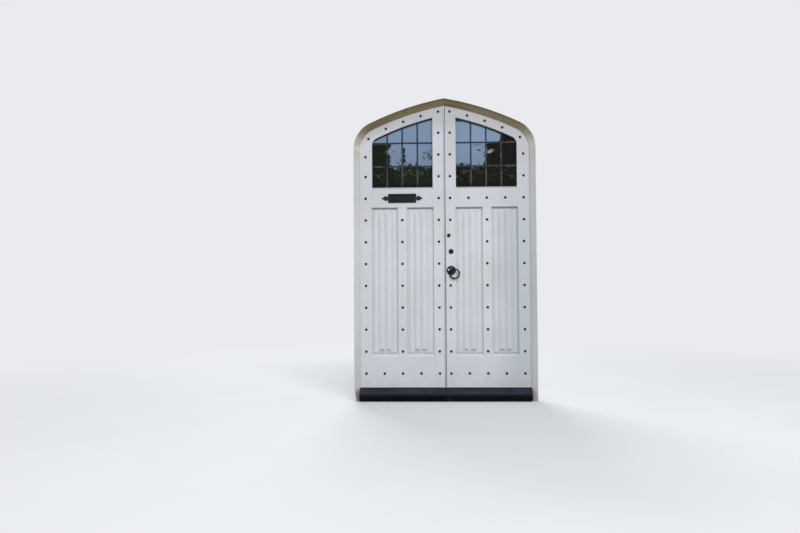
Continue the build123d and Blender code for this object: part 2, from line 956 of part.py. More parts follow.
def make_stud():
    """Round-headed stud with a square shank."""
    bulge = (stud_radius * 0.72, -stud_height * 0.78)
    head_edge = Line((0, 0), (0, -stud_height))
    head_edge += ThreePointArc((0, -stud_height), bulge, (stud_radius, -stud_rim))
    head_edge += Line((stud_radius, -stud_rim), (stud_radius, 0)) + Line((stud_radius, 0), (0, 0))
    head = revolve(Plane.XY * make_face(head_edge), axis=Axis.Y)
    half = stud_shank / 2
    return head + block(-half, half, 0, stud_shank_length, -half, half)


# Barrel bolts
def bolt_plate(z0):
    """Back plate and staples of a barrel bolt, from z0 up."""
    y = leaf_thickness + bolt_standoff
    half = bolt_plate_width / 2
    plate = block(
        -bolt_place - half,
        -bolt_place + half,
        leaf_thickness,
        leaf_thickness + bolt_plate_thickness,
        z0,
        z0 + bolt_plate_length,
    )
    reach = bolt_staple_width / 2
    top = bolt_plate_length - bolt_staple_height
    for rise in (0, top / 2, top):
        plate += block(
            -bolt_place - reach,
            -bolt_place + reach,
            leaf_thickness,
            y + bolt_radius + bolt_plate_thickness,
            z0 + rise,
            z0 + rise + bolt_staple_height,
        )
    bore = rod_z(-bolt_place, y, bolt_radius + bolt_clearance, z0, z0 + bolt_plate_length)
    return plate - bore


def bolt_rod(z0, knob_z):
    """Round bolt with a turned knob."""
    y = leaf_thickness + bolt_standoff
    rod = rod_z(-bolt_place, y, bolt_radius, z0, z0 + bolt_length)
    end = y + bolt_knob_reach
    rod += rod_y(-bolt_place, knob_z, bolt_knob_radius * 0.7, y, end)
    return rod + Pos(-bolt_place, end, knob_z) * Sphere(bolt_knob_radius + 1)


def upper_bolt_foot():
    """Height of the upper rod's lower end when it is drawn back."""
    return arch_height(-bolt_place + bolt_radius, lap) - bolt_end_gap - bolt_length


def lower_bolt_foot():
    """Height of the lower rod's lower end when it is drawn back."""
    return leaf_foot + bolt_clearance


# Ring handle and the sliding latches
def hang_direction():
    """Direction in which the ring hangs from its eye, as X and Z."""
    turn = math.radians(ring_turn)
    return (math.sin(turn), -math.cos(turn))


def make_rose():
    """Dished rose with a rounded rim and a bore for the boss."""
    rim = rose_radius - rose_rim_width
    bore = boss_radius + joint_clearance
    points = (
        (bore, 0),
        (rose_radius, 0),
        (rose_radius, -rose_rim_height * 0.5),
        (rose_radius - rose_rim_width * 0.3, -rose_rim_height),
        (rim + rose_rim_width * 0.3, -rose_rim_height),
        (rim, -rose_floor),
        (bore, -rose_floor),
    )
    return turned(points, handle_x, handle_z)


def make_spindle():
    """Boss with the ring's eye, and the square spindle through the stile, in one forging."""
    far = leaf_thickness + case_depth + knob_reach * 0.8
    half = spindle_side / 2
    spindle = rod_y(handle_x, handle_z, boss_radius, -eye_standoff + eye_radius * 0.5, 0)
    spindle += block(handle_x - half, handle_x + half, 0, far, handle_z - half, handle_z + half)
    place = Pos(handle_x, -eye_standoff, handle_z) * Rot(0, -ring_turn, 0)
    eye = place * Rot(0, 90, 0) * Cylinder(eye_radius, eye_thickness)
    spindle += eye
    bore = place * Rot(0, 90, 0) * Cylinder(ring_wire + eye_bore_clearance, 4 * eye_thickness)
    return spindle - bore


def make_ring():
    """Pull ring with two knops, threaded through the eye and hanging as the handle is turned."""
    across, down = hang_direction()
    centre = (handle_x + across * ring_radius, -eye_standoff, handle_z + down * ring_radius)
    ring = Pos(*centre) * Rot(90, 0, 0) * Torus(ring_radius, ring_wire)
    for side in (-1, 1):
        place = ring_turn + side * ring_knop_angle
        x = centre[0] + ring_radius * math.sin(math.radians(place))
        z = centre[2] - ring_radius * math.cos(math.radians(place))
        ring += Pos(x, -eye_standoff, z) * Rot(0, 90 - place, 0) * Sphere(ring_knop_radius)
    return ring


def make_knob(x, z, socket):
    """Turned knob on the inside, with a square socket for a spindle if it has one."""
    y0 = leaf_thickness + case_depth + joint_clearance
    y1 = y0 + knob_reach
    profile = (
        (0, y0),
        (knob_neck_radius, y0),
        (knob_neck_radius, y0 + knob_reach * 0.35),
        (knob_radius * 0.9, y0 + knob_reach * 0.55),
        (knob_radius, y0 + knob_reach * 0.7),
        (knob_radius * 0.92, y0 + knob_reach * 0.88),
        (knob_radius * 0.6, y1),
        (0, y1),
    )
    knob = turned(profile, x, z)
    if socket:
        half = spindle_side / 2 + 0.05
        deep = leaf_thickness + case_depth + knob_reach * 0.8 + joint_clearance
        knob -= block(x - half, x + half, y0, deep, z - half, z + half)
    return knob


def latch_depth():
    """Front and back of the latch bolts."""
    middle = leaf_thickness + (case_depth - case_wall) / 2
    return (middle - latch_bolt_thickness / 2, middle + latch_bolt_thickness / 2)


def make_follower(x, z, square_hole):
    """Disc with an arm that moves a latch bolt, drawn with the bolt drawn back."""
    y0, y1 = latch_depth()
    middle = (y0 + y1) / 2
    front = middle - follower_thickness / 2
    back = middle + follower_thickness / 2
    half = follower_arm_width / 2
    lean = follower_swing / 2
    arm = Rot(0, -lean, 0) * block(-half, half, front, back, -follower_reach, 0)
    follower = rod_y(x, z, follower_radius, front, back) + Pos(x, 0, z) * arm
    if square_hole:
        side = spindle_side / 2 + 0.05
        follower -= block(x - side, x + side, front, back, z - side, z + side)
    return follower


def make_latch_bolt(x, z):
    """Sliding bolt with a notch for the follower's arm, drawn back."""
    y0, y1 = latch_depth()
    nose = case_left()
    top = z - latch_bolt_drop
    bolt = block(nose, nose + latch_bolt_length, y0, y1, top - latch_bolt_height, top)
    notch_x = x + follower_throw_radius * math.sin(math.radians(follower_swing / 2))
    half = follower_arm_width / 2 / math.cos(math.radians(follower_swing / 2))
    half += latch_notch_depth * math.tan(math.radians(follower_swing / 2)) + latch_notch_clearance
    return bolt - block(notch_x - half, notch_x + half, y0, y1, top - latch_notch_depth, top)


def case_left():
    """Edge of the lock cases nearest the meeting line."""
    return meeting_gap / 2 + case_edge_setback


def make_latch_case(x, z, z0, z1, bore):
    """Iron case on the right leaf's inside, open at its back, with a slot for its bolt."""
    left = case_left()
    right = left + case_width
    front = leaf_thickness
    back = leaf_thickness + case_depth
    y0, y1 = latch_depth()
    top = z - latch_bolt_drop
    case = block(left, right, front, back, z0, z1)
    case -= block(left + case_wall, right - case_wall, front, back - case_wall, z0 + case_wall, z1 - case_wall)
    guide = left + case_guide_place
    case += block(guide, guide + case_wall, front, back - case_wall, z0 + case_wall, top + case_wall)
    slot = block(
        left,
        guide + case_wall,
        y0 - latch_bolt_gap,
        y1 + latch_bolt_gap,
        top - latch_bolt_height - latch_bolt_gap,
        top + latch_bolt_gap,
    )
    case -= slot
    return case - rod_y(x, z, bore, back - case_wall, back)


def make_latch_keep(z):
    """Keep on the left leaf's inside with a pocket for a latch bolt."""
    y0, y1 = latch_depth()
    edge = -case_left()
    top = z - latch_bolt_drop
    low = top - latch_bolt_height
    keep = block(edge - keep_width, edge, leaf_thickness, leaf_thickness + keep_depth, low - keep_margin, top + keep_margin)
    return keep - block(
        edge - keep_pocket,
        edge,
        y0 - latch_bolt_gap,
        y1 + latch_bolt_gap,
        low - latch_bolt_gap,
        top + latch_bolt_gap,
    )


# Night latch
def make_night_cylinder():
    """Cylinder housing through the stile, bored for its plug."""
    shell = rod_y(night_x, night_z, night_body_radius, 0, leaf_thickness)
    shell += rod_y(night_x, night_z, night_rim_radius, -night_rim_height, 0)
    shell = shell.solid()
    rim = shell.edges().filter_by(GeomType.CIRCLE).sort_by(Axis.Y)[0]
    shell = fillet(rim, night_rim_height * 0.4)
    return shell - rod_y(night_x, night_z, night_plug_radius + plug_clearance, -night_rim_height, leaf_thickness)


def make_night_plug():
    """Key plug with its keyway, standing a little proud."""
    front = -night_rim_height - 1
    plug = rod_y(night_x, night_z, night_plug_radius, front, leaf_thickness)
    half = keyway_width / 2
    return plug - block(
        night_x - half,
        night_x + half,
        front,
        front + keyway_depth,
        night_z - keyway_height / 2,
        night_z + keyway_height / 2,
    )


def make_night_knob():
    """Inside knob of the night latch with its stem and cam in one piece."""
    y0, y1 = latch_depth()
    knob = make_knob(night_knob_x, night_knob_z, False)
    knob += rod_y(night_knob_x, night_knob_z, night_stem_radius, (y0 + y1) / 2, leaf_thickness + case_depth + 1)
    return knob + make_follower(night_knob_x, night_knob_z, False)


# Deadlock and keyhole plates
def keyhole(y0, y1):
    """Keyhole: a round hole with a slot below it."""
    slot = keyhole_slot_width / 2
    hole = rod_y(lock_x, lock_z, keyhole_radius, y0, y1)
    return hole + block(lock_x - slot, lock_x + slot, y0, y1, lock_z - keyhole_slot_drop, lock_z)


def make_escutcheon(y0, y1):
    """Round keyhole plate."""
    return rod_y(lock_x, lock_z, escutcheon_radius, y0, y1) - keyhole(y0, y1)


def make_keyhole_cover():
    """Drop cover over the outside keyhole, with its own rivet."""
    y1 = -escutcheon_thickness - cover_gap
    y0 = y1 - cover_thickness
    pivot_z = lock_z + cover_pivot_rise
    cover = rod_y(lock_x, lock_z - 2, cover_radius, y0, y1)
    cover += rod_y(lock_x, pivot_z, cover_pivot_radius * 2, y0, y1)
    cover += block(lock_x - cover_pivot_radius * 2, lock_x + cover_pivot_radius * 2, y0, y1, lock_z, pivot_z)
    cover += rod_y(lock_x, lock_z - 4, cover_radius * 0.3, y0 - 1, y0)
    return cover + rod_y(lock_x, pivot_z, cover_pivot_radius, y0 - 1, 0)


def cover_pivot_hole():
    """Hole in the outside keyhole plate for the cover's rivet."""
    return rod_y(lock_x, lock_z + cover_pivot_rise, cover_pivot_radius + 0.08, -escutcheon_thickness, 0)


def forend_x():
    """Outer face of the deadlock's forend, a little inside the bevelled edge."""
    return -meeting_edge_x(lock_case_front) + forend_sinking


def deadbolt_range():
    """Foot and top of the deadbolt."""
    middle = lock_z + deadbolt_rise
    return (middle - deadbolt_height / 2, middle + deadbolt_height / 2)


def deadbolt_depth():
    """Front and back of the deadbolt."""
    middle = lock_case_front + lock_case_thickness / 2
    return (middle - deadbolt_thickness / 2, middle + deadbolt_thickness / 2)


def deadlock_body(clearance):
    """Case and forend of the deadlock, as a solid or as the mortice that holds it."""
    face = forend_x() - (leaf_thickness if clearance else 0)
    back = forend_x() + forend_thickness
    middle = lock_z + lock_case_rise
    y_mid = lock_case_front + lock_case_thickness / 2
    forend = block(
        face,
        back + clearance,
        y_mid - forend_width / 2 - clearance,
        y_mid + forend_width / 2 + clearance,
        middle - forend_height / 2 - clearance,
        middle + forend_height / 2 + clearance,
    )
    return forend + block(
        back,
        back + lock_case_width + clearance,
        lock_case_front - clearance,
        lock_case_front + lock_case_thickness + clearance,
        middle - lock_case_height / 2 - clearance,
        middle + lock_case_height / 2 + clearance,
    )


def make_deadlock_case():
    """Mortice lock case with the channel of its bolt and its keyhole."""
    z0, z1 = deadbolt_range()
    y0, y1 = deadbolt_depth()
    face = forend_x()
    channel = block(
        face,
        face + deadbolt_length + 2,
        y0 - deadbolt_gap,
        y1 + deadbolt_gap,
        z0 - deadbolt_gap,
        z1 + deadbolt_gap,
    )
    case = deadlock_body(0) - channel
    return case - keyhole(lock_case_front, lock_case_front + lock_case_thickness)


def make_deadbolt():
    """Deadbolt, drawn back into its case."""
    z0, z1 = deadbolt_range()
    y0, y1 = deadbolt_depth()
    face = forend_x() + deadbolt_gap
    return block(face, face + deadbolt_length, y0, y1, z0, z1)


def strike_pocket_cut():
    """Pocket in the left meeting stile for the thrown deadbolt and its strike plate."""
    z0, z1 = deadbolt_range()
    y0, y1 = deadbolt_depth()
    middle = (z0 + z1) / 2
    y_mid = (y0 + y1) / 2
    back = -forend_x() - forend_thickness
    half = forend_width / 2
    plate = block(back, 0, y_mid - half, y_mid + half, middle - strike_height / 2, middle + strike_height / 2)
    gap = deadbolt_gap
    return plate + block(back - strike_pocket, back, y0 - gap, y1 + gap, z0 - gap, z1 + gap)


def make_strike():
    """Strike plate of the deadlock, let into the left meeting stile."""
    z0, z1 = deadbolt_range()
    y0, y1 = deadbolt_depth()
    middle = (z0 + z1) / 2
    y_mid = (y0 + y1) / 2
    face = -forend_x()
    half = forend_width / 2
    gap = deadbolt_gap
    plate = block(
        face - forend_thickness, face, y_mid - half, y_mid + half, middle - strike_height / 2, middle + strike_height / 2
    )
    return plate - block(face - forend_thickness, face, y0 - gap, y1 + gap, z0 - gap, z1 + gap)


# Letter plate
def letter_aperture(y0, y1):
    """Slot through the plates and the frieze rail."""
    half = letter_aperture_length / 2
    rise = letter_aperture_height / 2
    return block(letter_x - half, letter_x + half, y0, y1, letter_z - rise, letter_z + rise)


def spear_end(side):
    """Pointed end of the letter plate: a neck and a spear head."""
    start = letter_plate_length / 2
    neck_end = start + 8
    points = (
        (start - 1, -letter_neck),
        (neck_end, -letter_neck),
        (neck_end + 5, -letter_spear),
        (letter_tip_reach - 14, -letter_spear * 0.42),
        (letter_tip_reach, 0),
        (letter_tip_reach - 14, letter_spear * 0.42),
        (neck_end + 5, letter_spear),
        (neck_end, letter_neck),
        (start - 1, letter_neck),
    )
    return polygon([(side * x, z) for x, z in points])


def flap_pivot(outside):
    """Y and Z of a flap's pivot line, outside or inside."""
    z = letter_z + letter_flap_height / 2 + letter_barrel_radius
    if outside:
        return (-letter_plate_thickness - letter_barrel_radius - letter_gap, z)
    return (leaf_thickness + letter_plate_thickness + letter_barrel_radius + letter_gap, z)


def flap_ears(outside):
    """Pair of ears that carry a flap."""
    y, z = flap_pivot(outside)
    root = -letter_plate_thickness if outside else leaf_thickness + letter_plate_thickness
    reach = letter_barrel_radius + 1
    ears = []
    for side in (-1, 1):
        near = letter_x + side * (letter_flap_length / 2 + letter_ear_gap)
        far = near + side * letter_ear
        ear = block(near, far, min(root, y), max(root, y), z - reach, z + reach)
        ear += rod_x(y, z, reach, min(near, far), max(near, far))
        bore = rod_x(y, z, letter_pivot_radius + letter_pivot_clearance, min(near, far), max(near, far))
        overlap = block(near, far, root, root + (1 if outside else -1) * letter_barrel_radius, z - reach - 1, z + reach + 1)
        ears.append(ear - bore - overlap)
    return ears


def make_letter_plate():
    """Outside plate with pointed ends, a slot and ears for the flap."""
    outline = Rectangle(letter_plate_length, letter_plate_height)
    for side in (-1, 1):
        outline += spear_end(side)
    plate = slab(Pos(letter_x, letter_z) * outline, -letter_plate_thickness, 0)
    plate -= letter_aperture(-letter_plate_thickness, 0)
    return plate + flap_ears(True)


def make_inner_letter_plate():
    """Plain plate on the inside with a slot and ears for the inner flap."""
    outline = Rectangle(letter_plate_length, letter_plate_height + inner_plate_margin)
    y0 = leaf_thickness
    y1 = leaf_thickness + letter_plate_thickness
    plate = slab(Pos(letter_x, letter_z) * outline, y0, y1)
    return plate - letter_aperture(y0, y1) + flap_ears(False)


def make_flap(outside):
    """Flap with a rolled barrel along its top and a pivot stub at each end."""
    y, z = flap_pivot(outside)
    half = letter_flap_length / 2
    side = -1 if outside else 1
    near = y - side * letter_barrel_radius
    far = near + side * letter_flap_thickness
    low = letter_z - letter_flap_height / 2
    flap = block(letter_x - half, letter_x + half, near, far, low, z)
    flap += rod_x(y, z, letter_barrel_radius, letter_x - half, letter_x + half)
    reach = half + letter_ear_gap + letter_ear
    return flap + rod_x(y, z, letter_pivot_radius, letter_x - reach, letter_x + reach)


# Build and write every piece
left_studs = stud_places(range(1, 12), (0, 4), left_top_stud_drop)
right_studs = stud_places((1, 2, 3, 4, 7, 8, 9, 10, 11), range(5), 0)
stud = make_stud()


def write_frame():
    """Frame, sill, seal, keeps and the fixed half of the hinges."""
    jamb = make_jamb()
    head = make_head()
    seal = make_frame_seal()
    save("jamb_left", jamb - worn_foot())
    save("jamb_right", mirrored(jamb))
    save("head_left", head)
    save("head_right", mirrored(head))
    save("sill", make_sill())
    save("frame_seal", seal, mirrored(seal))
    save("bolt_keeps", head_keep(), sill_keep_plate(bolt_radius + bolt_clearance))
    halves = [hinge_half(z, rebate_edge, rebate_edge + hinge_leaf_thickness, 0) for z in hinge_heights]
    pins = [hinge_pin(z) for z in hinge_heights]
    save("hinge_frame_leaves", *halves, *[mirrored(half) for half in halves])
    save("hinge_pins", *pins, *[mirrored(pin) for pin in pins])


def place_right(name, piece):
    """Move a piece drawn on the left to the named side."""
    return mirrored(piece) if name == "right" else piece


def write_leaf(name, places, stile_cuts, rail_cuts):
    """One leaf's framing, panels, light, studs and hinge halves."""
    holes = stud_shank_holes(places)
    meeting_stile = place_right(name, make_meeting_stile(holes))
    frieze_rail = place_right(name, make_frieze_rail(holes))
    for cut in stile_cuts:
        meeting_stile -= cut
    for cut in rail_cuts:
        frieze_rail -= cut
    save(f"hinge_stile_{name}", place_right(name, make_hinge_stile(holes)))
    save(f"meeting_stile_{name}", meeting_stile)
    save(f"bottom_rail_{name}", place_right(name, make_bottom_rail(holes)))
    save(f"frieze_rail_{name}", frieze_rail)
    save(f"top_rail_{name}", place_right(name, make_top_rail(holes)))
    save(f"muntin_{name}", place_right(name, make_muntin(holes)))
    outer, inner = panel_openings()
    save(f"panel_outer_{name}", place_right(name, make_panel(*outer)))
    save(f"panel_inner_{name}", place_right(name, make_panel(*inner)))
    save(f"leadwork_{name}", place_right(name, make_leadwork()))
    save(f"quarries_{name}", place_right(name, make_quarries()))
    save(f"glazing_beads_{name}", *[place_right(name, bead) for bead in make_beads()])
    save(f"studs_{name}", *[place_right(name, Pos(x, 0, z) * stud) for x, z in places])
    inner_edge = leaf_edge - hinge_leaf_thickness
    halves = [hinge_half(z, inner_edge, leaf_edge, 1) for z in hinge_heights]
    save(f"hinge_leaves_{name}", *[place_right(name, half) for half in halves])


def write_left_furniture():
    """Letter plate, barrel bolts, brush seal and keeps of the left leaf."""
    save("letter_plate", make_letter_plate())
    save("letter_flap", make_flap(True))
    save("letter_inner_plate", make_inner_letter_plate())
    save("letter_inner_flap", make_flap(False))
    upper = upper_bolt_foot()
    lower = lower_bolt_foot()
    upper_plate = upper + bolt_length - bolt_plate_length - bolt_end_gap
    lower_plate = lower + 2 * bolt_end_gap
    save("bolt_plates", bolt_plate(upper_plate), bolt_plate(lower_plate))
    knob_rise = bolt_plate_length * 0.25
    save("bolt_rod_top", bolt_rod(upper, upper_plate + knob_rise - bolt_travel / 2))
    save("bolt_rod_bottom", bolt_rod(lower, lower_plate + knob_rise + bolt_travel / 2))
    save("meeting_seal", make_brush(0))
    save("lock_keeps", make_latch_keep(handle_z), make_latch_keep(night_knob_z), make_strike())


def make_brush(clearance):
    """Brush seal in the left leaf's meeting edge, or the groove that holds it."""
    edge = meeting_edge_x(brush_place)
    half = brush_width / 2 + clearance
    tip = 0 if clearance else edge + brush_gap
    top = arch_height(0, lap) - tenon_shoulder
    return block(edge - brush_depth, tip, brush_place - half, brush_place + half, leaf_foot + foot_gap, top)


def write_right_furniture():
    """Ring handle, latches, locks and keyhole plates of the right leaf."""
    save("ring_rose", make_rose())
    save("ring_spindle", make_spindle())
    save("pull_ring", make_ring())
    save("latch_follower", make_follower(handle_x, handle_z, True))
    save("inner_knob", make_knob(handle_x, handle_z, True))
    half = latch_case_height / 2
    save("latch_case", make_latch_case(handle_x, handle_z, handle_z - half, handle_z + half, spindle_hole_radius))
    save("latch_bolt", make_latch_bolt(handle_x, handle_z))
    save("night_cylinder", make_night_cylinder())
    save("night_plug", make_night_plug())
    low = night_knob_z - night_case_height * 0.55
    high = low + night_case_height
    stem_bore = night_stem_radius + plug_clearance
    save("night_case", make_latch_case(night_knob_x, night_knob_z, low, high, stem_bore))
    save("night_knob", make_night_knob())
    save("night_bolt", make_latch_bolt(night_knob_x, night_knob_z))
    outside = make_escutcheon(-escutcheon_thickness, 0) - cover_pivot_hole()
    inside = make_escutcheon(leaf_thickness, leaf_thickness + escutcheon_thickness)
    save("keyhole_plates", outside, inside)
    save("keyhole_cover", make_keyhole_cover())
    save("deadlock_case", make_deadlock_case())
    save("deadbolt", make_deadbolt())


def right_stile_cuts():
    """Holes in the right meeting stile for the handle, the night latch and the deadlock."""
    spindle = rod_y(handle_x, handle_z, spindle_hole_radius, 0, leaf_thickness)
    cylinder = rod_y(night_x, night_z, night_body_radius + joint_clearance, 0, leaf_thickness)
    return (spindle, cylinder, keyhole(0, leaf_thickness), deadlock_body(joint_clearance))


write_frame()
write_leaf("left", left_studs, (strike_pocket_cut(), make_brush(0.05)), (letter_aperture(0, leaf_thickness),))
write_leaf("right", right_studs, right_stile_cuts(), ())
write_left_furniture()
write_right_furniture()
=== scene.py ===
import math

import bmesh
import bpy
from mathutils import Matrix, Vector


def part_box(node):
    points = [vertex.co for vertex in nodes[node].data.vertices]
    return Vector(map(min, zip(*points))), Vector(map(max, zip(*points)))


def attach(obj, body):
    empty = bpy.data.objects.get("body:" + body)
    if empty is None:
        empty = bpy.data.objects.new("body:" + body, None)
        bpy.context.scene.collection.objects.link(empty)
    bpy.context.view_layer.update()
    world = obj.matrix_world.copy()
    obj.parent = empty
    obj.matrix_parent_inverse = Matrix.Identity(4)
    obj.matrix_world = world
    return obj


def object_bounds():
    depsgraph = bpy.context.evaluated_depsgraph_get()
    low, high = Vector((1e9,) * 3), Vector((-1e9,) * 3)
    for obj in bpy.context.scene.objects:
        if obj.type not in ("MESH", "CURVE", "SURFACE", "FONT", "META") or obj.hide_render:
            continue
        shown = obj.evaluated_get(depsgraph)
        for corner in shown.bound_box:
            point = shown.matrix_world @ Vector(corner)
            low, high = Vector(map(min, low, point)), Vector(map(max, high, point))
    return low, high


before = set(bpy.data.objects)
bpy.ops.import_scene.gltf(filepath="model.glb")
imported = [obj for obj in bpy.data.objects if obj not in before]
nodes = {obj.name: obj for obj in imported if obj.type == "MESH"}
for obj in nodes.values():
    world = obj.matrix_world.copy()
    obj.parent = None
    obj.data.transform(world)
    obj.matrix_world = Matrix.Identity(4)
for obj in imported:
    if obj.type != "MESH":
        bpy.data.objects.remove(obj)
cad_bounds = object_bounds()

scene = bpy.context.scene
ACROSS, DEPTH, UP = range(3)


def span(name, axis):
    """(low, high) of a node along an axis, to the nearest micrometre."""
    return [round(corner[axis], 6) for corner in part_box(name)]


def centre_of(name, axis):
    return sum(span(name, axis)) / 2


# Places repeated from the part, in metres; those across the door are counted from its middle
LIGHT_INNER = 0.090                # side of a light that is nearer the middle
LIGHT_PITCH = 0.118125             # from one upright came to the next
LIGHT_PANES = 4
LIGHT_FOOT = 1.648
LIGHT_ROWS = (1.813, 1.997)        # heights of the level cames
LARGE_CENTRE = (0.4030, 0.1133)    # centre of the large arc, across on the far side, and its height
LARGE_RADIUS = 2.210               # of the leaves' edge
TOP_RAIL = 0.0745
PANEL_FOOT = 0.351
PANEL_TOP = 1.488
PANEL_CENTRES = (0.1894, 0.4657)
ROLL_OFFSET = 0.027                # from the middle of a panel to the middle of a roll
ROLL_HALF = 0.021
ROLL_TOP_HALF = 0.010
SEAM = 0.0025                      # middle of the dark line between the leaves
SEAM_HALF = 0.0070
BOLT_FEET = (0.0930, 2.0910)
HINGE_HEIGHTS = (0.250, 1.020, 1.790)
HINGE_FACES = (0.6703, 0.6737)     # hinge plates on the leaf and on the jamb
LETTER_THICKNESS = 0.004           # of the letter plates, outside and inside

# Places read from the frame
ROSE_X, ROSE_Z = centre_of("ring_rose", ACROSS), centre_of("ring_rose", UP)
LETTER_X, LETTER_Z = centre_of("letter_plate", ACROSS), centre_of("letter_plate", UP)
CAME_FRONT, CAME_BACK = span("leadwork_right", DEPTH)
SILL_FRONT = span("sill", DEPTH)[0]
LEAF_BACK = span("meeting_stile_right", DEPTH)[1]


# Node building
def srgb(red, green, blue):
    """Linear colour of an sRGB triple from 0 to 255."""
    def linear(value):
        value /= 255
        return value / 12.92 if value <= 0.04045 else ((value + 0.055) / 1.055) ** 2.4
    return (linear(red), linear(green), linear(blue), 1.0)


class Net:
    """A material under construction: one Principled shader and the nodes that feed it."""

    def __init__(self, name, **sockets):
        self.material = bpy.data.materials.new(name)
        self.material.use_nodes = True
        self.tree = self.material.node_tree
        self.tree.nodes.clear()
        self.place = self.add("ShaderNodeTexCoord").outputs["Object"]
        self.shader = self.add("ShaderNodeBsdfPrincipled")
        for socket, value in sockets.items():
            self.shader.inputs[socket.replace("_", " ")].default_value = value
        self.output = self.add("ShaderNodeOutputMaterial")
        self.feed(self.shader.outputs[0], self.output.inputs["Surface"])
        split = self.add("ShaderNodeSeparateXYZ")
        self.feed(self.place, split.inputs[0])
        self.x, self.y, self.z = split.outputs

    def add(self, kind, **settings):
        """A new node with some of its properties set."""
        node = self.tree.nodes.new(kind)
        for key, value in settings.items():
            setattr(node, key, value)
        return node

    def feed(self, value, socket):
        """Links a socket or sets a plain value."""
        if isinstance(value, bpy.types.NodeSocket):
            self.tree.links.new(value, socket)
        else:
            socket.default_value = value

    def math(self, operation, a, b=0.0, c=0.0):
        node = self.add("ShaderNodeMath", operation=operation)
        for value, socket in zip((a, b, c), node.inputs):
            self.feed(value, socket)
        return node.outputs[0]

    def times(self, a, b):
        return self.math("MULTIPLY", a, b)

    def flip(self, mask):
        """1 where a mask is 0, and 0 where it is 1."""
        return self.math("SUBTRACT", 1.0, mask)

    def size(self, value):
        return self.math("ABSOLUTE", value)

    def off(self, value, centre):
        """How far a value lies from a centre."""
        return self.size(self.math("SUBTRACT", value, centre))

    def length(self, a, b):
        return self.math("SQRT", self.math("ADD", self.times(a, a), self.times(b, b)))

    def stir(self, value, noise, amount):
        """A value moved by a noise."""
        return self.math("MULTIPLY_ADD", noise, amount, value)

    def vector(self, x, y, z):
        node = self.add("ShaderNodeCombineXYZ")
        for value, socket in zip((x, y, z), node.inputs):
            self.feed(value, socket)
        return node.outputs[0]

    def stretch(self, scale, place=None):
        """A place, the object's own if none is given, scaled along each axis."""
        node = self.add("ShaderNodeVectorMath", operation="MULTIPLY")
        self.feed(place or self.place, node.inputs[0])
        node.inputs[1].default_value = scale
        return node.outputs[0]

    def noise(self, scale, stretch=(1, 1, 1), detail=3.0, rough=0.5, place=None):
        node = self.add("ShaderNodeTexNoise")
        self.feed(self.stretch(stretch, place), node.inputs["Vector"])
        node.inputs["Scale"].default_value = scale
        node.inputs["Detail"].default_value = detail
        node.inputs["Roughness"].default_value = rough
        return node.outputs["Fac"]

    def step(self, value, low, high, to=(0.0, 1.0)):
        """Smooth step of a value between low and high."""
        node = self.add("ShaderNodeMapRange", interpolation_type="SMOOTHSTEP")
        self.feed(value, node.inputs["Value"])
        node.inputs["From Min"].default_value = low
        node.inputs["From Max"].default_value = high
        node.inputs["To Min"].default_value = to[0]
        node.inputs["To Max"].default_value = to[1]
        return node.outputs["Result"]

    def mix(self, factor, a, b):
        node = self.add("ShaderNodeMix", data_type="RGBA")
        self.feed(factor, node.inputs[0])
        self.feed(a, node.inputs[6])
        self.feed(b, node.inputs[7])
        return node.outputs[2]

    def tint(self, colour, mask, share, tone):
        """Mixes a share of a tone into a colour where the mask is 1."""
        return self.mix(self.times(mask, share), colour, tone)

    def hollow(self, distance):
        """0 on open faces, 1 in tight corners."""
        node = self.add("ShaderNodeAmbientOcclusion", samples=6)
        node.inputs["Distance"].default_value = distance
        return self.flip(node.outputs["AO"])

    def soften(self, radius):
        """Normal with the edges rounded."""
        node = self.add("ShaderNodeBevel", samples=4)
        node.inputs["Radius"].default_value = radius
        return node.outputs[0]

    def arris(self, radius):
        """(softened normal, 1 near an edge and 0 on flat faces)."""
        soft = self.soften(radius)
        plain = self.add("ShaderNodeNewGeometry")
        dot = self.add("ShaderNodeVectorMath", operation="DOT_PRODUCT")
        self.feed(soft, dot.inputs[0])
        self.feed(plain.outputs["True Normal"], dot.inputs[1])
        return soft, self.step(dot.outputs["Value"], 0.995, 0.9)

    def bump(self, height, strength, distance, normal=None):
        node = self.add("ShaderNodeBump")
        node.inputs["Strength"].default_value = strength
        node.inputs["Distance"].default_value = distance
        self.feed(height, node.inputs["Height"])
        if normal is not None:
            self.feed(normal, node.inputs["Normal"])
        return node.outputs[0]

    def finish(self, colour, rough, normal):
        """Feeds the shader and gives back the material."""
        self.feed(colour, self.shader.inputs["Base Color"])
        self.feed(rough, self.shader.inputs["Roughness"])
        self.feed(normal, self.shader.inputs["Normal"])
        return self.material


def arch_place(net):
    """(across, up) from the centre of the large arc on this side."""
    across = net.math("ADD", net.size(net.x), LARGE_CENTRE[0])
    return across, net.math("SUBTRACT", net.z, LARGE_CENTRE[1])


def arch_reach(net):
    """Distance from the centre of the large arc on this side, in metres."""
    return net.length(*arch_place(net))


def arch_run(net):
    """Distance run along the large arc on this side, in metres."""
    return net.times(net.math("ARCTAN2", *arch_place(net)), LARGE_RADIUS)


# Materials
PAINT = srgb(197, 200, 206)
PAINT_WARM = srgb(193, 194, 196)
PAINT_SHADE = srgb(178, 182, 188)
# Grey of the darkening in tight corners: partly dirt, partly painted shade
DIRT_AND_SHADE = srgb(124, 124, 122)
# Tan of the arched head: painted shade and warm bounce light under the arch
SHADED_TAN = srgb(132, 118, 90)
SHADED_TAN_DARK = srgb(92, 80, 60)
CORNER_DEPTH = 0.016               # how far the darkening of tight corners, partly dirt and partly painted shade, spreads
SOFT_ARRIS = 0.0016                # radius of the worn edges of the timber
# Painted highlights on the rose's dish: across and up from its middle, radius, grey
HIGHLIGHT_SPOTS = ((-0.0185, 0.0065, 0.0085, 214), (0.0215, 0.0070, 0.0070, 150), (0.002, 0.0200, 0.0065, 120))
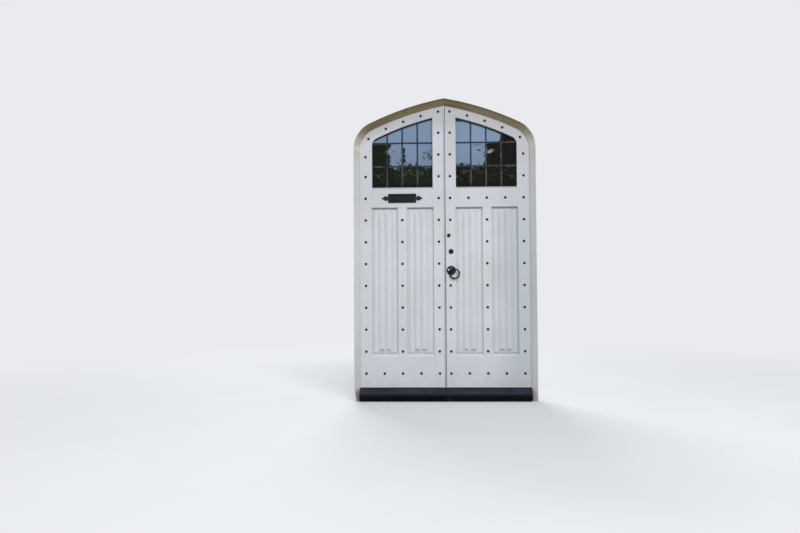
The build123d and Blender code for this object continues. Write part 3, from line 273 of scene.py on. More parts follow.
# Reflected twigs painted before the sky: middle, height, half width, threshold of the noise
TWIGS = ((-0.118, 1.900, 0.058, 0.47), (0.262, 1.952, 0.062, 0.54))
SPRAY = (-0.316, 1.90)             # middle of an upright spray of reflected leaves painted before the sky
GLINT = (0.356, 1.801)             # middle of the brightest painted glint among the reflected trees
GLINT_HALF = (0.034, 0.017)


def painted_place_shade(net, colour, cloud):
    """Painted shade by place on the leaves: greyer to the right, high up, on the frieze, in the top corner
    by the meeting stiles and under the arch.
    """
    right = net.step(net.stir(net.x, cloud, 0.2), 0.40, 0.66)
    colour = net.tint(colour, right, 0.8, srgb(172, 178, 181))
    high = net.step(net.stir(net.z, cloud, 0.3), 1.30, 2.10)
    colour = net.tint(colour, high, 0.55, srgb(177, 179, 182))
    frieze = net.times(net.step(net.z, 1.45, 1.50), net.step(net.z, 1.66, 1.60))
    colour = net.tint(colour, frieze, 0.35, srgb(180, 184, 188))
    corner = net.times(net.step(net.x, -0.02, 0.05), net.step(net.z, 1.70, 2.0))
    colour = net.tint(colour, corner, 0.55, srgb(168, 169, 171))
    edge = net.stir(arch_reach(net), net.noise(12, detail=3), 0.03)
    shade = net.step(edge, LARGE_RADIUS - 0.075, LARGE_RADIUS + 0.005)
    colour = net.tint(colour, shade, 0.8, srgb(166, 160, 161))
    crown = net.step(net.stir(net.z, cloud, 0.1), 2.08, 2.24)
    return net.tint(colour, crown, 0.85, srgb(162, 163, 164))


def panel_dirt_and_shadow(net, colour):
    """Dirt and painted shadow at the foot of the rolls, grime in the joint below them, and painted shadow
    under the rail at the top.
    """
    patch = net.noise(30, (1, 1, 1.4), detail=4, rough=0.6)
    front = net.step(net.y, 0.024, 0.021)
    rolls = [net.step(net.off(net.off(net.size(net.x), centre), ROLL_OFFSET), ROLL_HALF, ROLL_TOP_HALF)
             for centre in PANEL_CENTRES]
    # Dirt and painted shadow below the feet of the rolls
    low = net.times(net.step(net.z, PANEL_FOOT + 0.048, PANEL_FOOT + 0.030), net.math("MAXIMUM", *rolls))
    low = net.times(net.times(low, front), net.step(patch, 0.25, 0.6, (0.5, 1.0)))
    colour = net.tint(colour, low, 0.38, srgb(130, 132, 136))
    joint = net.times(net.step(net.z, PANEL_FOOT + 0.012, PANEL_FOOT + 0.002), net.step(patch, 0.2, 0.6))
    colour = net.tint(colour, joint, 0.4, srgb(140, 142, 146))
    # Painted shadow under the frieze rail
    rail_shadow = net.times(front, net.step(net.z, PANEL_TOP - 0.017, PANEL_TOP - 0.008))
    return net.tint(colour, rail_shadow, 0.55, srgb(104, 108, 114))


def paint(name, grain, panel=False):
    """Old white gloss: brush marks along the grain, rain streaks, dirt and painted shade in the corners,
    painted shade by place, along the seam and below the lights, a painted highlight at the foot, rubbed
    arrises.
    """
    net = Net(name, Specular_IOR_Level=0.3)
    along = {"x": (0.03, 1, 1), "z": (1, 1, 0.03)}[grain]
    cloud = net.noise(2.6, detail=4)
    colour = net.mix(net.step(cloud, 0.35, 0.7), PAINT, PAINT_WARM)
    streak = net.noise(38, (1, 1, 0.05), detail=3)
    colour = net.mix(net.step(streak, 0.5, 0.85, (0, 0.25)), colour, PAINT_SHADE)
    colour = painted_place_shade(net, colour, cloud)
    speck = net.noise(90, detail=5, rough=0.65)
    # Darker in tight corners, in specks: partly dirt, partly painted shade
    dirt_and_shade = net.times(net.step(net.hollow(CORNER_DEPTH), 0.3, 0.9), net.step(speck, 0.25, 0.6))
    colour = net.tint(colour, dirt_and_shade, 0.35, DIRT_AND_SHADE)
    if panel:
        colour = panel_dirt_and_shadow(net, colour)
    splash = net.times(net.step(net.z, 0.30, 0.07), net.step(net.noise(14, detail=5), 0.42, 0.8))
    colour = net.tint(colour, splash, 0.28, srgb(150, 150, 146))
    # Painted shade along the seam between the leaves, darker low down
    seam_shade = net.step(net.off(net.x, SEAM), SEAM_HALF + 0.0016, SEAM_HALF)
    seam_shade = net.times(seam_shade, net.step(net.y, 0.020, 0.010))
    seam_shade = net.times(seam_shade, net.step(net.z, 1.2, 1.8, (0.75, 0.12)))
    colour = net.mix(seam_shade, colour, srgb(120, 125, 135))
    # Painted highlight along the foot of the leaves
    colour = net.tint(colour, net.step(net.z, 0.105, 0.097), 0.5, srgb(222, 225, 230))
    if grain == "x":
        # Painted shade on the frieze rail just below the lights
        ledge_shade = net.step(net.z, LIGHT_FOOT - 0.015, LIGHT_FOOT - 0.001, (0, 0.6))
        colour = net.mix(net.times(ledge_shade, net.step(net.y, 0.012, 0.004)), colour, srgb(58, 60, 62))
    soft, edge = net.arris(SOFT_ARRIS)
    chip = net.times(edge, net.step(net.noise(60, detail=4), 0.56, 0.66))
    chip = net.times(chip, net.step(net.size(net.x), 0.006, 0.012, (0.1, 0.5)))
    colour = net.mix(chip, colour, srgb(134, 126, 110))
    normal = net.bump(net.noise(420, along, detail=3), 0.35, 0.0005, soft)
    normal = net.bump(net.noise(60, along, detail=2), 0.25, 0.0012, normal)
    rough = net.step(net.math("ADD", net.times(dirt_and_shade, 0.5), streak), 0.3, 0.95, (0.38, 0.62))
    return net.finish(colour, rough, normal)


def jamb_paint():
    """Jamb paint: creamier than the leaves, bare wood at the left foot, painted shade that darkens the
    right jamb and the top and foot of the left one and turns tan towards the springing, painted light at
    the foot of the right one.
    """
    net = Net("jamb_paint", Specular_IOR_Level=0.35)
    cloud = net.noise(3.1, detail=4)
    colour = net.mix(net.step(cloud, 0.3, 0.75), srgb(198, 198, 200), srgb(193, 193, 191))
    # Painted shade on the right jamb and at the top and foot of the left one; painted light at the foot of
    # the right one
    right = net.step(net.x, -0.2, 0.2)
    colour = net.tint(colour, right, 0.85, srgb(190, 191, 191))
    ends = net.math("MAXIMUM", net.step(net.z, 1.2, 1.6), net.step(net.z, 0.7, 0.3))
    colour = net.tint(colour, net.times(net.flip(right), ends), 0.5, srgb(180, 181, 183))
    light = net.times(right, net.step(net.z, 0.8, 0.3))
    colour = net.tint(colour, light, 0.5, srgb(205, 205, 206))
    streak = net.noise(45, (1, 1, 0.04), detail=3)
    colour = net.mix(net.step(streak, 0.48, 0.8, (0, 0.4)), colour, srgb(164, 160, 148))
    # Painted shade, tan towards the springing
    rise = net.stir(net.z, net.noise(9, detail=4), 0.16)
    colour = net.mix(net.step(rise, 1.84, 2.04, (0, 0.75)), colour, srgb(178, 175, 166))
    left = net.step(net.x, -0.2, -0.6)
    worn = net.stir(net.z, net.noise(24, (1, 1, 0.5), detail=5, rough=0.6), 0.12)
    worn = net.times(net.step(worn, 0.165, 0.10), net.step(left, 0.0, 1.0, (0.35, 1.0)))
    grain = net.noise(150, (1, 1, 0.05), detail=4)
    wood = net.mix(net.step(grain, 0.35, 0.7), srgb(150, 144, 130), srgb(96, 88, 76))
    colour = net.tint(colour, worn, 0.75, wood)
    # Darker in tight corners: partly dirt, partly painted shade
    colour = net.tint(colour, net.step(net.hollow(CORNER_DEPTH), 0.3, 0.85), 0.4, DIRT_AND_SHADE)
    soft, edge = net.arris(SOFT_ARRIS)
    chip = net.times(edge, net.step(net.noise(48, detail=4), 0.52, 0.62))
    colour = net.tint(colour, chip, 0.6, srgb(120, 108, 90))
    normal = net.bump(net.noise(420, (1, 1, 0.03)), 0.35, 0.0005, soft)
    normal = net.bump(net.noise(60, (1, 1, 0.03), detail=2), 0.3, 0.0012, normal)
    return net.finish(colour, net.step(streak, 0.2, 0.9, (0.4, 0.62)), normal)


def head_shade_and_grain():
    """Arched head in a tan that is painted shade and warm bounce light: grain along the curve, redder
    crown, white feet, painted shadow along both edges, algae on the left.
    """
    net = Net("head_shade_and_grain", Specular_IOR_Level=0.25)
    reach = arch_reach(net)
    side = net.times(net.math("SIGN", net.x), 3.0)
    curve = net.vector(net.math("ADD", arch_run(net), side), net.y, reach)
    grain = net.noise(160, (0.035, 1, 1), detail=5, rough=0.6, place=curve)
    bands = net.noise(34, (0.06, 1, 1), detail=3, place=curve)
    # Painted shade and warm bounce light: tan with the grain in it
    colour = net.mix(net.step(grain, 0.3, 0.72), SHADED_TAN, SHADED_TAN_DARK)
    colour = net.mix(net.step(bands, 0.35, 0.75, (0, 0.6)), colour, srgb(152, 140, 114))
    colour = net.tint(colour, net.step(net.z, 2.17, 2.32), 0.45, srgb(140, 106, 78))
    colour = net.tint(colour, net.step(net.x, 0.0, 0.4), 0.45, srgb(148, 139, 110))
    # Painted shadow along the inner edge of the head, by the leaves
    lip = net.step(reach, LARGE_RADIUS + 0.017, LARGE_RADIUS + 0.010)
    lip = net.times(lip, net.step(net.off(net.x, 0.10), 0.16, 0.08))
    colour = net.tint(colour, lip, 0.4, srgb(84, 62, 34))
    # Painted shadow along the outer rim
    rim = net.step(reach, LARGE_RADIUS + 0.018, LARGE_RADIUS + 0.040)
    colour = net.tint(colour, rim, 0.6, srgb(76, 66, 46))
    patch = net.noise(11, detail=5, rough=0.65)
    # White towards the feet, where the painted tan ends
    foot = net.stir(net.stir(net.z, patch, 0.18), net.step(net.x, -0.3, 0.3), -0.035)
    colour = net.mix(net.step(foot, 2.18, 2.03), colour, srgb(192, 191, 184))
    algae = net.times(net.step(net.off(net.x, -0.30), 0.16, 0.02), net.step(patch, 0.42, 0.66))
    colour = net.tint(colour, algae, 0.7, srgb(128, 122, 52))
    # Darker in tight corners: partly dirt, partly painted shade
    colour = net.tint(colour, net.step(net.hollow(CORNER_DEPTH), 0.3, 0.85), 0.45, srgb(66, 58, 48))
    colour = net.mix(net.step(net.y, 0.0, 0.02), colour, srgb(198, 198, 194))
    normal = net.bump(grain, 0.5, 0.0006, net.soften(SOFT_ARRIS))
    return net.finish(colour, net.step(grain, 0.2, 0.8, (0.5, 0.75)), normal)


def black_metal(name, shade, rough, hammer, gloss=0.25, worn=(84, 82, 80), rubbed=0.5, reach=0.0009,
                bands=()):
    """Black painted wrought iron: hammer facets, rubbed edges, which on handled iron are pale enough to be
    painted highlights too, and a little brown bloom.

    Bands of painted shadow are given as (height where it starts, height where it is full, share).
    """
    net = Net(name, Specular_IOR_Level=gloss)
    bloom = net.noise(120, detail=4, rough=0.6)
    rust = srgb(shade[0] + 22, shade[1] + 16, shade[2] + 10)
    colour = net.mix(net.step(bloom, 0.55, 0.75), srgb(*shade), rust)
    soft, edge = net.arris(reach)
    rub = net.times(edge, net.step(net.noise(200, detail=3), 0.4, 0.7))
    colour = net.tint(colour, rub, rubbed, srgb(*worn))
    # Painted shadow in bands across the height
    for start, full, share in bands:
        colour = net.mix(net.step(net.z, start, full, (0, share)), colour, srgb(1, 2, 4))
    dents = net.add("ShaderNodeTexVoronoi", feature="SMOOTH_F1")
    net.feed(net.place, dents.inputs["Vector"])
    dents.inputs["Scale"].default_value = 170
    dents.inputs["Smoothness"].default_value = 0.8
    normal = net.bump(dents.outputs["Distance"], hammer, 0.0012, soft)
    normal = net.bump(bloom, 0.3, 0.0002, normal)
    return net.finish(colour, net.step(bloom, 0.3, 0.8, (rough, rough + 0.2)), normal)


def rose_iron():
    """Black iron rose with three painted highlights on its dish and pale edges that are partly rubbed and
    partly painted highlight.
    """
    net = Net("rose_iron", Specular_IOR_Level=0.3)
    bloom = net.noise(160, detail=4, rough=0.6)
    colour = net.mix(net.step(bloom, 0.5, 0.75), srgb(10, 10, 12), srgb(34, 32, 30))
    for across, up, radius, grey in HIGHLIGHT_SPOTS:
        run = net.math("SUBTRACT", net.x, ROSE_X + across)
        rise = net.math("SUBTRACT", net.z, ROSE_Z + up)
        far = net.stir(net.length(run, rise), net.math("SUBTRACT", bloom, 0.5), 0.006)
        colour = net.mix(net.step(far, radius, radius * 0.6), colour, srgb(grey, grey, grey + 4))
    # Pale edges: rubbed, and painted highlights too
    soft, edge = net.arris(0.0012)
    rub = net.times(edge, net.step(net.noise(200, detail=3), 0.45, 0.7))
    colour = net.tint(colour, rub, 0.6, srgb(150, 150, 152))
    normal = net.bump(bloom, 0.5, 0.0006, soft)
    return net.finish(colour, net.step(bloom, 0.3, 0.8, (0.3, 0.5)), normal)


def bright_metal(name, light, dark, rough):
    """Bare steel or brass: brushed, tarnished in patches."""
    net = Net(name, Metallic=1.0)
    patch = net.noise(70, detail=5, rough=0.6)
    colour = net.mix(net.step(patch, 0.4, 0.72), light, dark)
    normal = net.bump(net.noise(900, (1, 1, 0.05), detail=2), 0.15, 0.0002, net.soften(0.0006))
    return net.finish(colour, net.step(patch, 0.35, 0.75, (rough, rough + 0.25)), normal)


def sill_paint():
    """Black paint on the sill: dust on the slope, upward faces paler as painted light from the sky, paler
    on the upper part of its front, a painted shadow under the leaves, scuffs where feet land, grain along
    its length.
    """
    net = Net("sill_paint", Specular_IOR_Level=0.05)
    up = net.add("ShaderNodeSeparateXYZ")
    net.feed(net.add("ShaderNodeNewGeometry").outputs["Normal"], up.inputs[0])
    dust = net.noise(16, (0.5, 1, 1), detail=5, rough=0.62)
    colour = net.mix(net.step(dust, 0.3, 0.7), srgb(3, 4, 8), srgb(9, 11, 16))
    # Paler on upward faces: dust, and painted light from the sky
    dust_and_skylight = net.times(net.step(up.outputs["Z"], 0.2, 0.8), net.step(dust, 0.15, 0.85, (0.45, 0.95)))
    colour = net.mix(dust_and_skylight, colour, srgb(53, 57, 65))
    brow = net.step(net.stir(net.z, dust, 0.01), 0.033, 0.056)
    brow = net.times(brow, net.step(net.y, SILL_FRONT + 0.004, SILL_FRONT + 0.0005))
    colour = net.tint(colour, brow, 0.8, srgb(36, 40, 47))
    shadow = net.step(net.stir(net.z, dust, 0.004), 0.088, 0.094)
    colour = net.tint(colour, shadow, 0.8, srgb(5, 6, 9))
    scuff = net.noise(70, (0.25, 1, 1), detail=4, rough=0.7)
    middle = net.step(net.size(net.x), 0.5, 0.1)
    worn = net.times(net.step(scuff, 0.58, 0.72), net.math("MULTIPLY_ADD", middle, 0.6, 0.2))
    colour = net.tint(colour, worn, 0.6, srgb(96, 95, 92))
    soft, edge = net.arris(0.003)
    rub = net.times(edge, net.step(net.noise(30, detail=4), 0.45, 0.65))
    colour = net.tint(colour, rub, 0.35, srgb(84, 82, 78))
    normal = net.bump(net.noise(300, (0.04, 1, 1)), 0.35, 0.0006, soft)
    normal = net.bump(dust, 0.2, 0.002, normal)
    return net.finish(colour, net.step(dust, 0.3, 0.8, (0.42, 0.68)), normal)


def reflected_sky_share(net):
    """(1 where the painted reflection on the glass shows sky and 0 where it shows trees, leaf noise), by
    place on the door.
    """
    leaves = net.noise(40, detail=4, rough=0.6)
    boughs = net.noise(13, (1, 1, 1.4), detail=4, rough=0.6)
    wander = net.math("ADD", net.times(net.math("SUBTRACT", leaves, 0.5), 0.10),
                      net.times(net.math("SUBTRACT", boughs, 0.5), 0.18))
    sky = net.step(net.math("ADD", net.z, wander), 1.810, 1.834)
    top = net.step(net.z, 1.985, 2.0)
    outer_left = net.step(net.math("ADD", net.x, wander), -0.408, -0.432)
    edge = net.math("MULTIPLY_ADD", top, 0.120, 0.313)
    right = net.step(net.math("SUBTRACT", net.stir(net.x, wander, 0.55), edge), -0.006, 0.012)
    spray = net.off(net.stir(net.x, wander, 0.5), SPRAY[0])
    spray = net.times(net.step(spray, 0.017, 0.006), net.step(net.off(net.z, SPRAY[1]), 0.075, 0.05))
    trees = [net.times(outer_left, net.flip(top)), right, spray]
    for middle, centre, half, thick in TWIGS:
        reach = net.step(net.off(net.x, middle), half, half * 0.6)
        height = net.step(net.off(net.z, centre), 0.045, 0.02)
        twig = net.step(net.noise(48, (0.5, 1, 1.5), detail=4, rough=0.65), thick, thick + 0.06)
        trees.append(net.times(net.times(reach, height), net.times(twig, 0.85)))
    for tree in trees:
        sky = net.times(sky, net.flip(tree))
    return sky, leaves


def lead():
    """Milled lead with painted light by place: dull blue-grey among the painted sky, greenish and unevenly
    pale among the painted trees.
    """
    net = Net("old_lead", Specular_IOR_Level=0.2)
    patch = net.noise(60, detail=4, rough=0.6)
    high = net.mix(net.step(patch, 0.3, 0.7), srgb(16, 28, 52), srgb(34, 48, 74))
    low = net.mix(net.step(net.noise(15, detail=3), 0.42, 0.58), srgb(26, 30, 26), srgb(60, 62, 55))
    colour = net.mix(reflected_sky_share(net)[0], low, high)
    normal = net.bump(net.noise(260, detail=3), 0.4, 0.0005, net.soften(0.001))
    return net.finish(colour, net.step(patch, 0.3, 0.8, (0.45, 0.7)), normal)


def reflected_tree_tones(net, leaves):
    """Painted reflection of the trees in the glass, with painted glints among the leaves, darker low down,
    and a black line of painted shade at the foot.
    """
    dark = net.mix(net.step(leaves, 0.35, 0.68), srgb(2, 3, 1), srgb(25, 29, 16))
    dark = net.mix(net.step(net.x, 0.2, 0.5, (0, 0.7)), dark, srgb(12, 8, 6))
    left = net.step(net.x, 0.05, -0.05)
    dark = net.tint(dark, left, 0.35, srgb(3, 21, 2))
    inner = net.times(net.step(net.x, -0.42, -0.28), left)
    dark = net.tint(dark, inner, 0.45, srgb(23, 33, 21))
    band = net.step(net.off(net.z, 1.765), 0.075, 0.03)
    glint = net.step(net.noise(34, (0.7, 1, 1.6), detail=4, rough=0.65), 0.56, 0.68)
    dark = net.tint(dark, net.times(glint, band), 0.45, srgb(104, 110, 96))
    across = net.math("DIVIDE", net.math("SUBTRACT", net.x, GLINT[0]), GLINT_HALF[0])
    rise = net.math("SUBTRACT", net.stir(net.z, net.x, -0.35), GLINT[1])
    up = net.math("DIVIDE", rise, GLINT_HALF[1])
    ragged = net.stir(net.length(across, up), net.math("SUBTRACT", leaves, 0.5), 2.4)
    dark = net.mix(net.step(ragged, 1.0, 0.6, (0, 0.85)), dark, srgb(134, 148, 150))
    dark = net.tint(dark, net.step(net.z, 1.70, 1.65), 0.7, srgb(7, 7, 7))
    return net.mix(net.step(net.z, LIGHT_FOOT + 0.017, LIGHT_FOOT + 0.010), dark, srgb(1, 1, 1))


def glass():
    """Old hand-made glass: each quarry leans its own way, with a painted reflection of sky high up and
    trees low down, and painted shade along the arch and in the top inner corner of the right light.
    """
    net = Net("quarry_glass", Roughness=0.05, Specular_IOR_Level=0.13)
    column = net.math("DIVIDE", net.math("SUBTRACT", net.size(net.x), LIGHT_INNER), LIGHT_PITCH)
    column = net.times(net.math("FLOOR", column), net.math("SIGN", net.x))
    row = net.math("ADD", *[net.math("GREATER_THAN", net.z, height) for height in LIGHT_ROWS])
    cell = net.add("ShaderNodeTexWhiteNoise", noise_dimensions="3D")
    net.feed(net.vector(column, row, net.math("SIGN", net.x)), cell.inputs["Vector"])
    sky, leaves = reflected_sky_share(net)
    tone = net.mix(cell.outputs["Value"], srgb(112, 130, 151), srgb(126, 144, 167))
    tone = net.mix(net.step(net.z, 1.99, 1.84, (0, 0.3)), tone, srgb(100, 118, 142))
    tone = net.mix(net.step(net.x, 0.05, -0.05, (0, 0.45)), tone, srgb(102, 118, 138))
    colour = net.mix(sky, reflected_tree_tones(net, leaves), tone)
    # Painted shade along the arch and a painted dark wedge at the top of the right light
    reach = arch_reach(net)
    light_edge = LARGE_RADIUS - TOP_RAIL
    rim = net.step(reach, light_edge - 0.017, light_edge - 0.009)
    wedge = net.stir(net.math("SUBTRACT", reach, light_edge - 0.054), net.x, -0.26)
    wedge = net.times(net.step(wedge, -0.002, 0.004), net.step(net.x, 0.0, 0.05))
    colour = net.tint(colour, net.math("MAXIMUM", rim, wedge), 0.85, srgb(12, 22, 26))
    lean = net.add("ShaderNodeVectorMath", operation="MULTIPLY_ADD")
    net.feed(cell.outputs["Color"], lean.inputs[0])
    lean.inputs[1].default_value = (0.05, 0.0, 0.05)
    lean.inputs[2].default_value = (-0.025, 0.0, -0.025)
    tilted = net.add("ShaderNodeVectorMath", operation="ADD")
    net.feed(net.add("ShaderNodeNewGeometry").outputs["Normal"], tilted.inputs[0])
    net.feed(lean.outputs[0], tilted.inputs[1])
    unit = net.add("ShaderNodeVectorMath", operation="NORMALIZE")
    net.feed(tilted.outputs[0], unit.inputs[0])
    net.feed(colour, net.shader.inputs["Base Color"])
    net.feed(net.bump(net.noise(22, detail=2), 0.25, 0.004, unit.outputs[0]), net.shader.inputs["Normal"])
    return net.material


def bristle(name, shade):
    """Brush seal or rubber: fine upright bristles."""
    net = Net(name, Specular_IOR_Level=0.2)
    hairs = net.noise(700, (1, 1, 0.15), detail=2)
    tips = srgb(*[value + 26 for value in shade])
    colour = net.mix(net.step(hairs, 0.35, 0.65), srgb(*shade), tips)
    return net.finish(colour, net.step(hairs, 0.3, 0.7, (0.7, 0.9)), net.bump(hairs, 0.6, 0.0006))


upright = paint("paint_upright", "z")
level = paint("paint_level", "x")
carved = paint("paint_carved", "z", panel=True)
jambs = jamb_paint()
head = head_shade_and_grain()
iron = black_metal("black_iron_paint", (17, 17, 20), rough=0.42, hammer=0.35)
# Handled iron: edges rubbed pale, which are painted highlights too
handled_iron_highlights = black_metal("handled_iron_highlights", (10, 10, 12), rough=0.28, hammer=0.5, gloss=0.3,
                           worn=(206, 208, 212), rubbed=0.9, reach=0.0018)
ring_iron = black_metal("ring_iron", (4, 4, 6), rough=0.32, hammer=0.4, gloss=0.15,
                        worn=(92, 94, 98), reach=0.0012)
# The bands on the letter flap are painted shadow along its top and its foot
slate_iron = black_metal("slate_iron_paint", (12, 17, 27), rough=0.45, hammer=0.12, gloss=0.17,
                         worn=(22, 25, 30), bands=((1.568, 1.588, 0.9), (1.550, 1.542, 0.9)))
sill_black = sill_paint()
old_lead = lead()
quarry = glass()
steel = bright_metal("tarnished_steel", srgb(168, 166, 160), srgb(104, 98, 90), 0.34)
brass = bright_metal("tarnished_brass", srgb(56, 51, 42), srgb(24, 22, 19), 0.5)
rose = rose_iron()
brush = bristle("seal_bristle", (62, 66, 76))

# Nodes of the part that come as a left and a right one, and those that come once
paired = {
    upright: ("hinge_stile", "meeting_stile", "muntin", "glazing_beads", "top_rail"),
    level: ("bottom_rail", "frieze_rail"),
    carved: ("panel_outer", "panel_inner"),
    jambs: ("jamb",),
    head: ("head",),
    old_lead: ("leadwork",),
    quarry: ("quarries",),
    iron: ("studs",),
    steel: ("hinge_leaves",),
}
single = {
    iron: ("bolt_keeps", "letter_plate", "letter_inner_plate", "letter_inner_flap", "bolt_plates",
           "bolt_rod_top", "bolt_rod_bottom", "lock_keeps", "latch_case", "night_cylinder", "night_case",
           "night_knob", "keyhole_plates", "keyhole_cover"),
    handled_iron_highlights: ("ring_spindle", "inner_knob"),
    ring_iron: ("pull_ring",),
    rose: ("ring_rose",),
    slate_iron: ("letter_flap",),
    steel: ("hinge_frame_leaves", "hinge_pins", "latch_bolt", "latch_follower", "night_bolt",
            "deadlock_case", "deadbolt"),
    brass: ("night_plug",),
    sill_black: ("sill",),
    brush: ("frame_seal", "meeting_seal"),
}
dress = {name: material for material, names in single.items() for name in names}
dress.update({name + "_" + side: material for material, names in paired.items() for name in names
              for side in ("left", "right")})
for name, node in nodes.items():
    for place in node.material_slots:
        place.material = dress[name]


# Pieces that the part leaves to the scene
DOME = ((1.0, 0.0), (0.94, 0.55), (0.6, 0.92), (0.25, 1.0))    # (share of the radius, share of the rise)
SLOT_SHARE = 0.13                  # half width of a screw's slot over its radius
HALF_SIDES = 10                    # faces round half a screw head
FIRST_TURN = 0.7
TURN_STEP = 1.3                    # radians from one screw to the next


def piece(name, mesh, material, body):
    """Turns a bmesh into a piece that rides on a body."""
    data = bpy.data.meshes.new(name)
    mesh.normal_update()
    mesh.to_mesh(data)
    mesh.free()
    obj = bpy.data.objects.new(name, data)
    scene.collection.objects.link(obj)
    data.materials.append(material)
    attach(obj, body)
    return obj


def slotted_screw(mesh, centre, out, radius, proud, turn):
    """Domed screw head with a slot across it, looking along out."""
    out = Vector(out).normalized()
    side = out.orthogonal().normalized()
    up = out.cross(side)
    spin = Matrix.Rotation(turn, 3, out)
    side, up = spin @ side, spin @ up
    half_slot = radius * SLOT_SHARE
    centre = Vector(centre)
    sides = 2 * HALF_SIDES
    mesh.faces.new([mesh.verts.new(centre + side * (radius * math.cos(a)) + up * (radius * math.sin(a)))
                    for a in [math.tau * k / sides for k in range(sides)]])
    first = math.asin(half_slot / radius)
    angles = [first + (math.pi - 2 * first) * k / HALF_SIDES for k in range(HALF_SIDES + 1)]
    for sign in (1, -1):
        rings = []
        for share, rise in DOME:
            ring = []
            for angle in angles:
                x = radius * share * math.cos(angle)
                z = max(radius * share * math.sin(angle), half_slot)
                ring.append(mesh.verts.new(centre + side * x + up * z * sign + out * (proud * rise)))
            rings.append(ring)
        for lower, upper in zip(rings, rings[1:]):
            for k in range(HALF_SIDES):
                face = (lower[k], lower[k + 1], upper[k + 1], upper[k])
                mesh.faces.new(face if sign > 0 else face[::-1])
        mesh.faces.new(rings[-1] if sign > 0 else rings[-1][::-1])
        wall_low = [mesh.verts.new(rings[0][k].co) for k in (0, HALF_SIDES)]
        wall = [wall_low[0]] + [mesh.verts.new(ring[0].co) for ring in rings]
        wall += [mesh.verts.new(ring[HALF_SIDES].co) for ring in reversed(rings)] + [wall_low[1]]
        mesh.faces.new(wall[::-1] if sign > 0 else wall)


def screws(name, places, material, body, proud=0.22):
    """Several screw heads in one piece, from (centre, out, radius), each turned its own way."""
    mesh = bmesh.new()
    for number, (centre, out, radius) in enumerate(places):
        slotted_screw(mesh, centre, out, radius, radius * proud, FIRST_TURN + TURN_STEP * number)
    return piece(name, mesh, material, body)


# Hinge screws: heights from the middle of a hinge, and depths by turns
SCREW_RISES = (-0.036, -0.013, 0.013, 0.036)
SCREW_DEPTHS = (0.044, 0.033)
HINGE_SCREW = 0.0040
leaf_face, jamb_face = HINGE_FACES
rows = [(SCREW_DEPTHS[row % 2], hinge + rise)
        for hinge in HINGE_HEIGHTS for row, rise in enumerate(SCREW_RISES)]
for side, sign in (("left", -1), ("right", 1)):
    leaf_screws = [((sign * leaf_face, y, z), (sign, 0, 0), HINGE_SCREW) for y, z in rows]
    jamb_screws = [((sign * jamb_face, y, z), (-sign, 0, 0), HINGE_SCREW) for y, z in rows]
    screws("hinge_screws_leaf_" + side, leaf_screws, steel, "leaf_" + side)
    screws("hinge_screws_jamb_" + side, jamb_screws, steel, "frame")

# Fixings of the metalwork: depths at which their heads start, let a little into each plate
INSIDE, OUTSIDE = (0, 1, 0), (0, -1, 0)
SIDES = (-1, 1)
LET_IN = 0.0003
CASE_BACK = span("night_case", DEPTH)[1] - LET_IN              # of the latch case too
KEEP_BACK = span("lock_keeps", DEPTH)[1] - LET_IN
PLATE_BACK = span("keyhole_plates", DEPTH)[1] - LET_IN         # of the plates of the barrel bolts too
KEYHOLE_FRONT = span("keyhole_plates", DEPTH)[0] + LET_IN
LETTER_BACK = LEAF_BACK + LETTER_THICKNESS - LET_IN
LETTER_FRONT = LET_IN - LETTER_THICKNESS

# Places of the fixings, across and up
CASES = ((0.0105, 0.0775), (0.966, 1.030, 1.250, 1.310))       # latch case, then night latch case
KEEPS = ((-0.0315, -0.0215), (0.973, 1.259))
BARREL_PLATES = ((-0.0590, -0.0330), (0.034, 0.156))           # heights from the foot of a plate
LETTER_SCREWS = (0.1040, (1.5285, 1.5970))                     # across from the middle of the letter plate
LETTER_BOLTS = 0.1330
KEYHOLE_SCREWS = (0.0125, 1.1450)                              # across from the middle of the locks
KEYHOLE_PINS = (0.0148, 1.1357)

case_screws = [((x, CASE_BACK, z), INSIDE, 0.0031) for z in CASES[1] for x in CASES[0]]
case_screws += [((ROSE_X + side * KEYHOLE_SCREWS[0], PLATE_BACK, KEYHOLE_SCREWS[1]), INSIDE, 0.0022)
                for side in SIDES]
screws("case_screws", case_screws, steel, "leaf_right", 0.4)

plate_pins = [((ROSE_X + side * KEYHOLE_PINS[0], KEYHOLE_FRONT, KEYHOLE_PINS[1]), OUTSIDE, 0.0014)
              for side in SIDES]
screws("keyhole_pins", plate_pins, iron, "leaf_right", 0.5)

inside_screws = [((x, KEEP_BACK, z), INSIDE, 0.0028) for z in KEEPS[1] for x in KEEPS[0]]
inside_screws += [((LETTER_X + side * LETTER_SCREWS[0], LETTER_BACK, z), INSIDE, 0.0026)
                  for z in LETTER_SCREWS[1] for side in SIDES]
inside_screws += [((x, PLATE_BACK, foot + rise), INSIDE, 0.0026)
                  for foot in BOLT_FEET for rise in BARREL_PLATES[1] for x in BARREL_PLATES[0]]
screws("left_inside_screws", inside_screws, steel, "leaf_left", 0.4)

letter_bolts = [((LETTER_X + side * LETTER_BOLTS, LETTER_FRONT, LETTER_Z), OUTSIDE, 0.0042)
                for side in SIDES]
screws("letter_plate_bolts", letter_bolts, iron, "leaf_left", 0.5)

# Solder over the crossings of the cames
BLOB = ((1.0, 0.0), (0.86, 0.55), (0.6, 0.85), (0.25, 1.0))    # (share of the radius, share of the rise)
BLOB_RADIUS = 0.0078
BLOB_RISE = 0.0009
BLOB_LET_IN = 0.00005
BLOB_SIDES = 16


